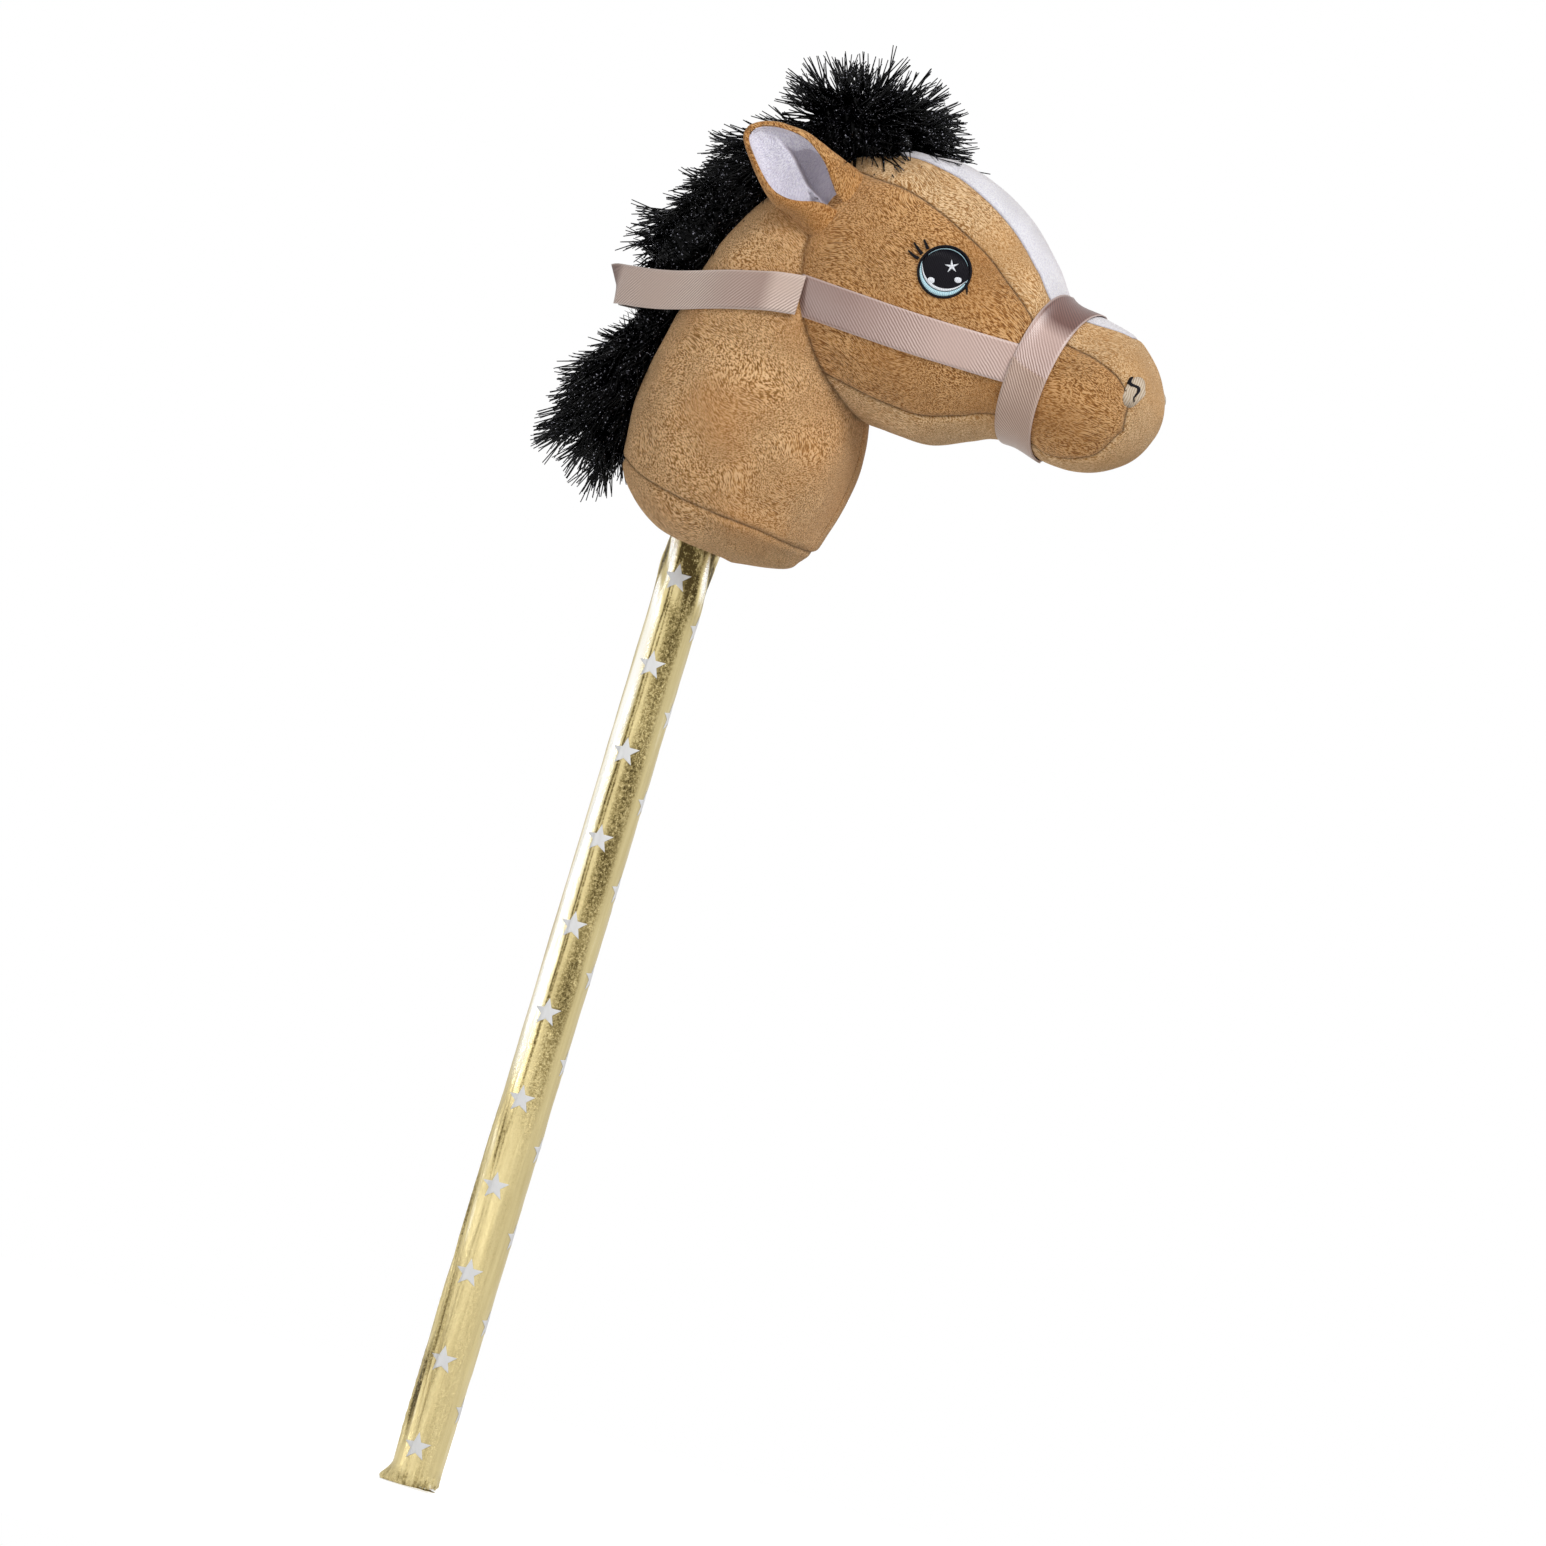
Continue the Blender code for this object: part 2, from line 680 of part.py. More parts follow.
def make_gusset(head, cutters):
    """The strip over the forehead, round the nose and back along the jaw, between the face seams."""
    nose_rows = evenly(NOSE_SEAM, float(head.last), 6)
    whole = face_rows() + nose_rows[1:]

    def strip(places, edges, columns):
        rows = []
        for place in places:
            start, end = edges(*seam_angles(head, place))
            rows.append([(place, angle) for angle in evenly(start, end, columns)])
        return rows

    strips = [
        strip(whole, lambda low, top: (top, math.pi - top), 8),
        strip(whole, lambda low, top: (-math.pi - low, low), 8),
        strip(nose_rows, lambda low, top: (low, top), 4),
        strip(nose_rows, lambda low, top: (math.pi - top, math.pi - low), 4),
    ]
    gusset = add_piece("centre_gusset", loft_shell(head, strips, 0.0, -PLUSH_THICKNESS), TAN_PLUSH)
    return cut(gusset, *cutters)


def blaze_strip(head, widening):
    """The blaze's outline on the forehead and nose, widened all round."""
    first, last = BLAZE_EDGE[0][0], BLAZE_EDGE[-1][0]
    first -= place_step(head, first, widening)
    last += place_step(head, last, widening)
    strip = []
    for place in evenly(first, last, 16):
        half_width = smooth_value(BLAZE_EDGE, place) * head_drawing().stretch.y + widening
        edge = head.angle_at_width(place, half_width)
        strip.append([(place, angle) for angle in evenly(edge, math.pi - edge, 7)])
    return strip


def make_blaze(head, cutters):
    shell = loft_shell(head, [blaze_strip(head, 0.0)], 0.0, -PLUSH_THICKNESS)
    return cut(add_piece("blaze", shell, WHITE_PLUSH), *cutters)


def make_blaze_cutter(head):
    depth = PLUSH_THICKNESS * 2
    return add_cutter("blaze_space", loft_shell(head, [blaze_strip(head, SEAM_GAP)], depth, -depth))


def make_round_patch(name, side, head, centre, width, height, rings, turns, paint):
    """A thin oval of stitching that follows the head's side."""
    middle = head_drawing().place(*centre)
    strip = []
    for reach in evenly(0.0, 1.0, rings + 1):
        strip.append([head.on_side(middle.x + reach * width / 2 * math.cos(turn),
                                   middle.z + reach * height / 2 * math.sin(turn))
                      for turn in evenly(0.0, 2 * math.pi, turns + 1)])
    shell = loft_shell(head, [strip], SKIN_GAP + EMBROIDERY_THICKNESS, SKIN_GAP, side)
    return add_piece(name, shell, paint)


def noseband_plane():
    """The middle of the noseband and the direction that it is square to."""
    top = head_drawing().place(*NOSEBAND_TOP)
    bottom = head_drawing().place(*NOSEBAND_BOTTOM)
    along = (top - bottom).normalized()
    return (top + bottom) / 2, Vector((along.z, 0, -along.x))


def band_distance(angle, edge):
    """How far ahead of the noseband's middle plane its ribbon lies, bowed back at the sides."""
    return edge - NOSEBAND_BOW * abs(math.cos(angle))


def place_at_plane(head, angle, edge):
    """Finds where the surface at this angle passes under a line along the noseband."""
    middle, ahead = noseband_plane()
    low, high = 5.0, 12.0
    for _ in range(40):
        place = (low + high) / 2
        if (head.point(place, angle) - middle).dot(ahead) > band_distance(angle, edge):
            high = place
        else:
            low = place
    return place


def make_noseband(head):
    """A ribbon ring round the muzzle."""
    angles = evenly(-math.pi / 2, 1.5 * math.pi, 37)
    strip = [[(place_at_plane(head, angle, edge), angle) for angle in angles]
             for edge in evenly(-RIBBON_WIDTH / 2, RIBBON_WIDTH / 2, 3)]
    shell = loft_shell(head, [strip], SKIN_GAP + RIBBON_THICKNESS, SKIN_GAP)
    return add_piece("noseband", shell, RIBBON_SATIN)


def make_cheek_strap(name, side, head, cutters):
    """A ribbon along the cheek, from the neck seam to the noseband's rear edge."""
    route = [head_drawing().place(*place) for place in STRAP_ROUTE]
    middle, ahead = noseband_plane()
    strip = []
    for share in evenly(0.0, 1.0, 12):
        centre = through(route, share * (len(route) - 1))
        row = []
        for edge in evenly(-RIBBON_WIDTH / 2, RIBBON_WIDTH / 2, 3):
            spot = centre + Vector((0, 0, edge))
            angle = head.on_side(spot.x, spot.z)[1]
            over = (spot - middle).dot(ahead) - band_distance(angle, -RIBBON_WIDTH / 2 - SEAM_GAP)
            if share == 1.0 or over > 0:
                spot.x -= over / ahead.x
            row.append(head.on_side(spot.x, spot.z))
        strip.append(row)
    strap = add_piece(name, loft_shell(head, [strip], SKIN_GAP + RIBBON_THICKNESS, SKIN_GAP, side), RIBBON_SATIN)
    return cut(strap, *cutters)


def rein_route(head):
    """The loop's middle line on the right side, from its sewn end to the back of the mane."""
    pivot = head_drawing().place(*REIN_PIVOT)
    start = head.offset_point(*head.on_side(pivot.x, pivot.z), SKIN_GAP + RIBBON_THICKNESS + REIN_STANDOFF)
    drawn = neck_drawing()
    return [start] + [drawn.place(x, z, y) for x, y, z in REIN_ROUTE]


def make_reins(head):
    """One ribbon loop from cheek to cheek round the back of the mane, drawn in where it is sewn on."""
    route = rein_route(head)
    top, bottom = [], []
    for place in evenly(0.0, len(route) - 1.0, 28):
        full = min(1.0, place)
        half = Vector((0, 0, (REIN_END_WIDTH * (1 - full) + RIBBON_WIDTH * full) / 2))
        top.append(through(route, place) + half)
        bottom.append(through(route, place) - half)
    rows = [row + [Vector((point.x, -point.y, point.z)) for point in reversed(row[:-1])] for row in (bottom, top)]
    mesh = grid(rows, Vector((0, 0, route[0].z)))
    reins = thicken(add_piece("reins", mesh, RIBBON_SATIN), RIBBON_THICKNESS, 1)
    hang("rein_hinge", head_drawing().place(*REIN_PIVOT), [reins])


def ear_frame():
    drawn = head_drawing()
    front = drawn.place(EAR_BASE_FRONT.x, EAR_BASE_FRONT.z, EAR_BASE_FRONT.y)
    rear = drawn.place(EAR_BASE_REAR.x, EAR_BASE_REAR.z, EAR_BASE_REAR.y)
    tip = drawn.place(EAR_TIP.x, EAR_TIP.z, EAR_TIP.y)
    base = (front + rear) / 2
    length = (tip - base).normalized()
    opening = (front - rear).cross(length).normalized()
    if opening.y > 0:
        opening = -opening
    width = length.cross(opening).normalized()
    if width.z < 0:
        width = -width
    return base, length, width, opening


def ear_hinge():
    """A point on the line across the ear's root that the right ear folds out over."""
    base, length, width, opening = ear_frame()
    return base - length * EAR_HINGE_DROP + opening * EAR_HINGE_OUT


def ear_value(field, share):
    return smooth_value([(row.share, getattr(row, field)) for row in EAR_SECTIONS], share)


def ear_points():
    """Rows across the ear's cupped inner surface, from inside the head to its tip."""
    base, length, width, opening = ear_frame()
    across = EAR_WIDTH / EAR_DRAWN_WIDTH
    points = []
    for share in evenly(EAR_SECTIONS[0].share, EAR_SECTIONS[-1].share, EAR_ROWS):
        half_width = ear_value("half_width", share) * across
        depth = ear_value("depth", share) * across
        spread = math.radians(ear_value("spread", share))
        centre = base + length * (share * EAR_LENGTH) + width * (ear_value("shift", share) * across)
        points.append([centre + width * (half_width * math.sin(turn)) - opening * (depth * math.cos(turn))
                       for turn in evenly(-spread, spread, EAR_COLUMNS)])
    return points


def raised(points, inside, distance):
    """Moves rows of points along their sheet's own normals, away from a point inside."""
    mesh = grid(points, inside)
    mesh.normal_update()
    moved = iter([vert.co + vert.normal * distance for vert in mesh.verts])
    rows = [[next(moved) for _ in row] for row in points]
    mesh.free()
    return rows


def make_ear(side, cutters):
    """A plush shell cupped round its white lining."""
    name = "ear_right" if side < 0 else "ear_left"
    base, length, width, opening = ear_frame()
    cup = base + length * (EAR_LENGTH / 2) + opening * EAR_WIDTH
    points = ear_points()
    shell = shell_between([raised(points, cup, EAR_PLUSH)], [points], cup, side)
    lining_top = raised(points, cup, -SEAM_GAP)[:-1]
    lining_under = raised(points, cup, -SEAM_GAP - EAR_LINING)[:-1]
    lining = shell_between([lining_top], [lining_under], cup, side)
    outer = cut(add_piece(name + "_outer", shell, TAN_PLUSH), *cutters)
    inner = cut(add_piece(name + "_lining", lining, WHITE_PLUSH), *cutters)
    root = ear_hinge()
    hang(name + "_hinge", Vector((root.x, -side * root.y, root.z)), [outer, inner])


def make_fur(name, loft, rows, cutters):
    return cut(add_piece(name, loft_solid(loft, 0.0, body_rows(loft, rows), FUR_SIDES), BLACK_FUR), *cutters)


def make_cutter(name, loft, offset, rows, sides):
    return add_cutter(name, loft_solid(loft, offset, rows, sides))


def build():
    clear_scene()
    neck, head = neck_loft(), head_loft()
    skin = PLUSH_THICKNESS + STUFFING_GAP
    neck_rows = body_rows(neck, BODY_ROWS)

    stick_space = make_stick_cutter()
    neck_outside = make_cutter("neck_outside", neck, ENVELOPE_GAP, body_rows(neck, CUTTER_ROWS), CUTTER_SIDES)
    head_outside = make_cutter("head_outside", head, ENVELOPE_GAP, body_rows(head, CUTTER_ROWS), CUTTER_SIDES)
    neck_core = make_cutter("neck_core", neck, ENVELOPE_GAP - skin, neck_rows, BODY_SIDES)
    blaze_space = make_blaze_cutter(head)

    make_stick()
    make_foot_pad()
    make_top_cap()
    make_sleeve()
    make_foot_disc()

    neck_stuffing = add_piece("neck_filling", loft_solid(neck, -skin, neck_rows, BODY_SIDES), STUFFING_WHITE)
    cut(neck_stuffing, stick_space)
    head_stuffing = add_piece("head_filling", loft_solid(head, -skin, head_rows(), BODY_SIDES), STUFFING_WHITE)
    cut(head_stuffing, neck_core)

    make_neck_base(neck, stick_space)
    make_neck_panel("neck_panel_right", -1, neck, [head_outside])
    make_neck_panel("neck_panel_left", 1, neck, [head_outside])
    make_face_panel("face_panel_right", -1, head, [neck_outside])
    make_face_panel("face_panel_left", 1, head, [neck_outside])
    make_gusset(head, [neck_outside, blaze_space])
    make_blaze(head, [neck_outside])

    for side, word in ((-1, "right"), (1, "left")):
        make_round_patch("eye_" + word, side, head, EYE_PLACE, EYE_DIAMETER, EYE_DIAMETER, 3, 16, EYE_THREAD)
        make_round_patch("nostril_" + word, side, head, NOSTRIL_PLACE, NOSTRIL_WIDTH, NOSTRIL_HEIGHT, 2, 10,
                         NOSTRIL_THREAD)
        make_cheek_strap("cheek_strap_" + word, side, head, [neck_outside])
        make_ear(side, [neck_outside, head_outside])
    make_noseband(head)
    make_reins(head)

    forelock_width = FORELOCK_WIDTH / (2 * FORELOCK_DRAWN_WIDTH * head_drawing().stretch.y)
    mane_width = MANE_WIDTH / (2 * FUR_DRAWN_WIDTH * neck_drawing().stretch.y)
    forelock = Loft(head_drawing(), FORELOCK_SECTIONS, forelock_width)
    mane = Loft(neck_drawing(), MANE_SECTIONS, mane_width)
    forelock_outside = make_cutter("forelock_outside", forelock, ENVELOPE_GAP, body_rows(forelock, FORELOCK_ROWS),
                                   FUR_SIDES)
    make_fur("forelock", forelock, FORELOCK_ROWS, [neck_outside, head_outside])
    make_fur("mane", mane, MANE_ROWS, [neck_outside, head_outside, forelock_outside])


build()
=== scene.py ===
# %% [markdown]
# # A stuffed hobby horse
# This script dresses a hobby horse: a plush head and neck, sewn as one stuffed bag over the top of a wooden
# stick, whose whole length is covered by a shiny gold cloth sleeve with printed stars.
# The solids of the model are loaded first. They say where each piece is and how the reins and the ears move.
# Each cell after that makes one soft piece or one finish, and says why it is made that way.

# %% Load the model's frame
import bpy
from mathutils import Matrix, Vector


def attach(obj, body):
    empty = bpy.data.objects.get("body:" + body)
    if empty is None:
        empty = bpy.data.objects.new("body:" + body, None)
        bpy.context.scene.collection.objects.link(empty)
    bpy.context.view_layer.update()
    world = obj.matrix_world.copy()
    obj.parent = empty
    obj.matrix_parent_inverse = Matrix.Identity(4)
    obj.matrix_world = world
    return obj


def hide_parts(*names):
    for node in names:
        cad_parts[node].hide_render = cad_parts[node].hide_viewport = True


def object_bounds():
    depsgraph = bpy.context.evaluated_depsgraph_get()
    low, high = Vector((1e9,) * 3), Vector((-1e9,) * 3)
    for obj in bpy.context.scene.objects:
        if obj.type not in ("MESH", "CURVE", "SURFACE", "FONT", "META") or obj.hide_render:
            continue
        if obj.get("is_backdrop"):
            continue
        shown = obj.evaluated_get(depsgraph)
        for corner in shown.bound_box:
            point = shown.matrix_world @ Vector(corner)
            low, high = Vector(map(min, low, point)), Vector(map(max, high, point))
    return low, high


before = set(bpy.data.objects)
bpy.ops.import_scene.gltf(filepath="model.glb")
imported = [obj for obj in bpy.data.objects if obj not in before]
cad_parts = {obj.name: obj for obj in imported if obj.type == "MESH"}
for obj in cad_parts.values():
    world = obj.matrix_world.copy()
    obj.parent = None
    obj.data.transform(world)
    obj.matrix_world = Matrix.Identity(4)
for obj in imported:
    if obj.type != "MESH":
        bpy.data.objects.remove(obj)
solid_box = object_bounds()

# %% [markdown]
# ## Tools for points, meshes and colours
# Everything is worked out in metres, in the frame's own axes: the stick stands along +Z with the centre of its
# foot at the origin, the head faces +X, and the horse's right side faces -Y.
# A maker draws a soft toy as outlines on paper, in millimetres, so the outlines below are in millimetres too.

# %% Import the modules and name the units
import math
from collections import namedtuple
from functools import lru_cache, partial

import bmesh
import bpy
from mathutils import Matrix, Vector, noise
from mathutils.bvhtree import BVHTree
from mathutils.kdtree import KDTree

MM = 0.001
SEED = 7

# %% [markdown]
# ### One function for colours, one for nodes
# Colours are written as sRGB hex values, the way a paint chart gives them, and turned to the linear values that
# the renderer works in. A finish is a small tree of nodes, so one function adds a node with its links and its
# settings, and every finish below is written with it. A node that is given as an input stands for its first
# output that is in use.

# %% Turn hex colours to linear, and add nodes
def colour(code):
    """Turns an sRGB hex value to a linear colour."""
    parts = [int(code[index:index + 2], 16) / 255 for index in (0, 2, 4)]
    return tuple(part / 12.92 if part <= 0.04045 else ((part + 0.055) / 1.055) ** 2.4 for part in parts) + (1.0,)


def set_stops(ramp, stops):
    """Gives a colour ramp its (place, hex) stops."""
    while len(ramp.elements) < len(stops):
        ramp.elements.new(0.5)
    for element, (place, code) in zip(ramp.elements, stops):
        element.position = place
        element.color = colour(code)


def add_node(tree, kind, inputs=None, **settings):
    """Adds one node with its links and settings, where stops are those of a colour ramp. An input takes a value,
    a socket, a node, or a list where several links go into one."""
    node = tree.nodes.new(kind)
    for name, value in settings.items():
        if name == "stops":
            set_stops(node.color_ramp, value)
        else:
            setattr(node, name, value)
    for name, value in (inputs or {}).items():
        for source in value if isinstance(value, list) else [value]:
            if isinstance(source, bpy.types.Node):
                source = next(socket for socket in source.outputs if socket.enabled)
            if isinstance(source, bpy.types.NodeSocket):
                tree.links.new(source, node.inputs[name])
            else:
                node.inputs[name].default_value = source
    return node


def new_finish(name):
    """Starts a material without nodes, and gives back the function that adds a node to it."""
    material = bpy.data.materials.new(name)
    material.use_nodes = True
    material.node_tree.nodes.clear()
    return material, partial(add_node, material.node_tree)


print("plush tan as linear:", [round(part, 3) for part in colour("B5834F")[:3]])

# %% [markdown]
# ### The drawn outlines
# The neck and the head are each a row of oval sections. A section joins two points of the side view, such as
# the top of the head and the jaw, and says how wide the toy is there. A smooth curve runs through the sections,
# so a whole stuffed form comes from a dozen of them. These are the outlines that the solids were made from,
# so the cloth fits over them without any fitting.

# %% Draw the neck and the head
Section = namedtuple("Section", "front back half_width squareness")

HANDLE_LENGTH = 0.508
NECK_SECTIONS = [
    Section((22, 0), (22, 0), 0, 2.2),
    Section((48, 5), (-4, 2), 28, 2.2),
    Section((55, 11), (-22, 8), 41, 2.2),
    Section((61, 18), (-36, 18), 49, 2.2),
    Section((65, 28), (-46, 31), 53, 2.2),
    Section((70, 47), (-49, 48), 56, 2.2),
    Section((72, 68), (-50, 65), 57, 2.2),
    Section((69, 91), (-48, 84), 55, 2.2),
    Section((62, 115), (-44, 104), 52, 2.2),
    Section((54, 139), (-39, 126), 50, 2.3),
    Section((48, 164), (-30, 157), 48, 2.3),
    Section((45, 189), (-15, 184), 44, 2.3),
    Section((42, 208), (4, 202), 32, 2.2),
    Section((26, 214), (26, 214), 0, 2.2),
]
HEAD_SECTIONS = [
    Section((-28, -62), (-28, -62), 0, 2.2),
    Section((-29, -38), (-12, -88), 26, 2.2),
    Section((-24, -15), (0, -109), 39, 2.2),
    Section((-8, 2), (19, -120), 48, 2.3),
    Section((14, 14), (39, -124), 53, 2.4),
    Section((38, 20), (61, -126), 53, 2.4),
    Section((67, 16), (80, -126), 51, 2.4),
    Section((95, 2), (98, -119), 47, 2.3),
    Section((116, -17), (110, -114), 42, 2.2),
    Section((131, -34), (124, -113), 38, 2.2),
    Section((151, -38), (144, -118), 38, 2.2),
    Section((168, -42), (164, -117), 37, 2.2),
    Section((181, -52), (182, -107), 31, 2.2),
    Section((189, -64), (191, -93), 19, 2.1),
    Section((195, -78), (195, -78), 0, 2.1),
]
print("sections:", len(NECK_SECTIONS), "for the neck and", len(HEAD_SECTIONS), "for the head")

# %% Run smooth curves through values
def bend(start, start_slope, end, end_slope, share, length):
    """Reads a cubic between two values that leaves and arrives at the given slopes."""
    return (
        start * (2 * share**3 - 3 * share**2 + 1)
        + start_slope * length * (share**3 - 2 * share**2 + share)
        + end * (3 * share**2 - 2 * share**3)
        + end_slope * length * (share**3 - share**2)
    )


def smooth_value(table, place):
    """Reads a smooth curve through (place, value) pairs."""
    last = len(table) - 1
    place = min(max(place, table[0][0]), table[last][0])
    index = max(i for i in range(last) if table[i][0] <= place)

    def slope(i):
        low, high = max(i - 1, 0), min(i + 1, last)
        return (table[high][1] - table[low][1]) / (table[high][0] - table[low][0])

    length = table[index + 1][0] - table[index][0]
    share = (place - table[index][0]) / length
    return bend(table[index][1], slope(index), table[index + 1][1], slope(index + 1), share, length)


def through(values, place):
    """Reads a Catmull-Rom curve through evenly numbered values."""
    index = min(int(place), len(values) - 2)
    share = place - index
    here, there = values[index], values[index + 1]
    before = values[index - 1] if index > 0 else here * 2 - there
    after = values[index + 2] if index + 2 < len(values) else there * 2 - here
    return bend(here, (there - before) * 0.5, there, (after - here) * 0.5, share, 1.0)


def evenly(start, end, count):
    """Evenly spaced values, both ends included."""
    return [start + (end - start) * index / (count - 1) for index in range(count)]


def closer_at_ends(start, end, count):
    """Spreads values so that they lie closer together near both ends."""
    shares = evenly(0.0, 1.0, count)
    return [start + (end - start) * (0.5 * share + 0.25 * (1 - math.cos(math.pi * share))) for share in shares]


def full_turn(count):
    """Evenly spaced angles all the way round."""
    return [2 * math.pi * step / count for step in range(count)]


def ease(share):
    """Goes from 0 to 1 without a corner."""
    share = min(max(share, 0.0), 1.0)
    return share * share * (3 - 2 * share)


# %% Loft a rounded body through the sections
class Loft:
    """A rounded body through oval sections, each square to the XZ plane."""

    def __init__(self, origin, sections):
        self.origin = Vector(origin)
        self.fronts = [self.at(*section.front) for section in sections]
        self.backs = [self.at(*section.back) for section in sections]
        self.widths = [section.half_width * MM for section in sections]
        self.squares = [section.squareness for section in sections]
        self.last = len(sections) - 1

    def at(self, x, z, y=0.0):
        """A point drawn in millimetres, as a point of the model."""
        return self.origin + Vector((x, y, z)) * MM

    @lru_cache(maxsize=4096)
    def frame(self, place):
        """The middle of the oval at a place, its half depth as a vector, its half width and its squareness."""
        front = through(self.fronts, place)
        back = through(self.backs, place)
        half_width = max(through(self.widths, place), 0.0)
        return (front + back) / 2, (front - back) / 2, half_width, through(self.squares, place)

    def point(self, place, angle):
        """The surface at an angle from the right side (0) over the front or top (90 degrees) to the left."""
        middle, rise, half_width, square = self.frame(place)
        across, up = math.cos(angle), math.sin(angle)
        reach = (abs(across) ** square + abs(up) ** square) ** (-1 / square)
        return middle + rise * (up * reach) + Vector((0, -half_width * across * reach, 0))

    def angle_at(self, place, share):
        """The angle at which the surface stands at this share of the half depth."""
        square = self.frame(place)[3]
        level = min(abs(share), 1.0)
        across = (1 - level**square) ** (1 / square)
        return math.copysign(math.atan2(level, across), share)

    def angle_at_width(self, place, half_width):
        """The angle on the top right at which the surface stands this far from the middle plane."""
        widest, square = self.frame(place)[2:]
        across = min(half_width / widest, 1.0)
        return math.atan2((1 - across**square) ** (1 / square), across)


neck = Loft((0, 0, HANDLE_LENGTH), NECK_SECTIONS)
head = Loft(neck.at(26, 214), HEAD_SECTIONS)
print("the neck's crown stands at z = %.0f mm" % (head.origin.z / MM))

# %% Make meshes from rows of points
def face_away(mesh, inside):
    """Turns a sheet's faces away from a point inside it."""
    mesh.normal_update()
    outward = sum(face.normal.dot(face.calc_center_median() - inside) * face.calc_area() for face in mesh.faces)
    if outward < 0:
        bmesh.ops.reverse_faces(mesh, faces=mesh.faces)
    mesh.normal_update()


def sheet_of(grids, inside, closed=False):
    """Makes one sheet of faces through grids of points, welded where they meet."""
    mesh = bmesh.new()
    for rows in grids:
        verts = [[mesh.verts.new(point) for point in row] for row in rows]
        for row, following in zip(verts, verts[1:]):
            for column in range(len(row) - 1):
                mesh.faces.new((row[column], row[column + 1], following[column + 1], following[column]))
            if closed:
                mesh.faces.new((row[-1], row[0], following[0], following[-1]))
    bmesh.ops.remove_doubles(mesh, verts=mesh.verts, dist=2e-6)
    bmesh.ops.dissolve_degenerate(mesh, edges=mesh.edges, dist=1e-6)
    face_away(mesh, inside)
    return mesh


def join_rings(mesh, rings):
    """Adds the faces of a tube through rings with the same number of points."""
    for ring, after in zip(rings, rings[1:]):
        for side in range(len(ring)):
            turn = (side + 1) % len(ring)
            mesh.faces.new((ring[side], ring[turn], after[turn], after[side]))


def give_wall(mesh, wall):
    """Closes a sheet with an inner face at a distance inside it, and the rim between both."""
    outer_faces = list(mesh.faces)
    rim = [edge for edge in mesh.edges if len(edge.link_faces) == 1]
    under = {vert: mesh.verts.new(vert.co - vert.normal * wall, vert) for vert in list(mesh.verts)}
    for face in outer_faces:
        mesh.faces.new([under[vert] for vert in reversed(face.verts)], face)
    for edge in rim:
        face = edge.link_faces[0]
        corners = list(face.verts)
        first = corners.index(edge.verts[0])
        forward = corners[(first + 1) % len(corners)] == edge.verts[1]
        start, end = edge.verts if forward else reversed(edge.verts)
        mesh.faces.new((end, start, under[start], under[end]), face)
    mesh.normal_update()
    return mesh


# %% Put pieces in the scene
def put_in_scene(name, data):
    """Makes an object of a mesh, a lamp or a camera and puts it in the scene. A bmesh is made a mesh first."""
    if isinstance(data, bmesh.types.BMesh):
        drawn, data = data, bpy.data.meshes.new(name)
        drawn.to_mesh(data)
        drawn.free()
    made = bpy.data.objects.new(name, data)
    bpy.context.scene.collection.objects.link(made)
    return made


def final_mesh(piece):
    """Works out an object's modifiers to a plain mesh, and removes them."""
    final = bpy.data.meshes.new_from_object(piece.evaluated_get(bpy.context.evaluated_depsgraph_get()))
    piece.modifiers.clear()
    return final


def add_piece(name, data, material, body="horse", node=None):
    """Adds a piece that rides on a body, has the given finish and may stand for a node, whose solid it hides."""
    piece = put_in_scene(name, data)
    piece.data.materials.clear()
    piece.data.materials.append(material)
    piece.data.shade_smooth()
    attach(piece, body)
    if node:
        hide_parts(node)
    return piece


# %% Close the two forms and measure how deep a point lies
def tree_of(mesh):
    """Finds the nearest spot on a mesh."""
    mesh.normal_update()
    return BVHTree.FromBMesh(mesh)


def points_tree(points):
    """Finds the nearest of many points."""
    tree = KDTree(len(points))
    for index, point in enumerate(points):
        tree.insert(point, index)
    tree.balance()
    return tree


def depth_in(tree, point):
    """How far outside a closed body a point lies, and less than 0 where it is inside."""
    near, normal, _, distance = tree.find_nearest(point)
    return math.copysign(distance, (point - near).dot(normal))


def whole_loft(loft, rows, sides, grow=0.0):
    """Closes a whole loft as one body, moved outwards by a distance."""
    places = evenly(0.02, loft.last - 0.02, rows)
    mesh = sheet_of([[[loft.point(place, angle) for angle in full_turn(sides)] for place in places]],
                    loft.frame(loft.last / 2)[0], closed=True)
    for vert in mesh.verts:
        vert.co += vert.normal * grow
    bmesh.ops.holes_fill(mesh, edges=[edge for edge in mesh.edges if len(edge.link_faces) == 1])
    bmesh.ops.recalc_face_normals(mesh, faces=mesh.faces)
    return mesh


neck_body = whole_loft(neck, 90, 90)
head_body = whole_loft(head, 120, 90)
neck_tree, head_tree = tree_of(neck_body), tree_of(head_body)
print("forms:", len(neck_body.verts), "and", len(head_body.verts), "points")
neck_body.free()
head_body.free()

# %% [markdown]
# ## The plush
# The tan cloth is velboa: a knitted polyester with a pile about 1.5 mm long, brushed and sheared. From a metre
# away single fibres don't show. What shows is a grain of about a millimetre, where tufts stand or lie, softer
# mottling where a hand has brushed it, and a pale sheen where the pile is seen from the side.
# A knitted pile could be grown as hair, but at this size it would be millions of hairs that nobody sees. So the
# grain is drawn in the finish with noise at the real sizes, and the sheen is the shader's own.

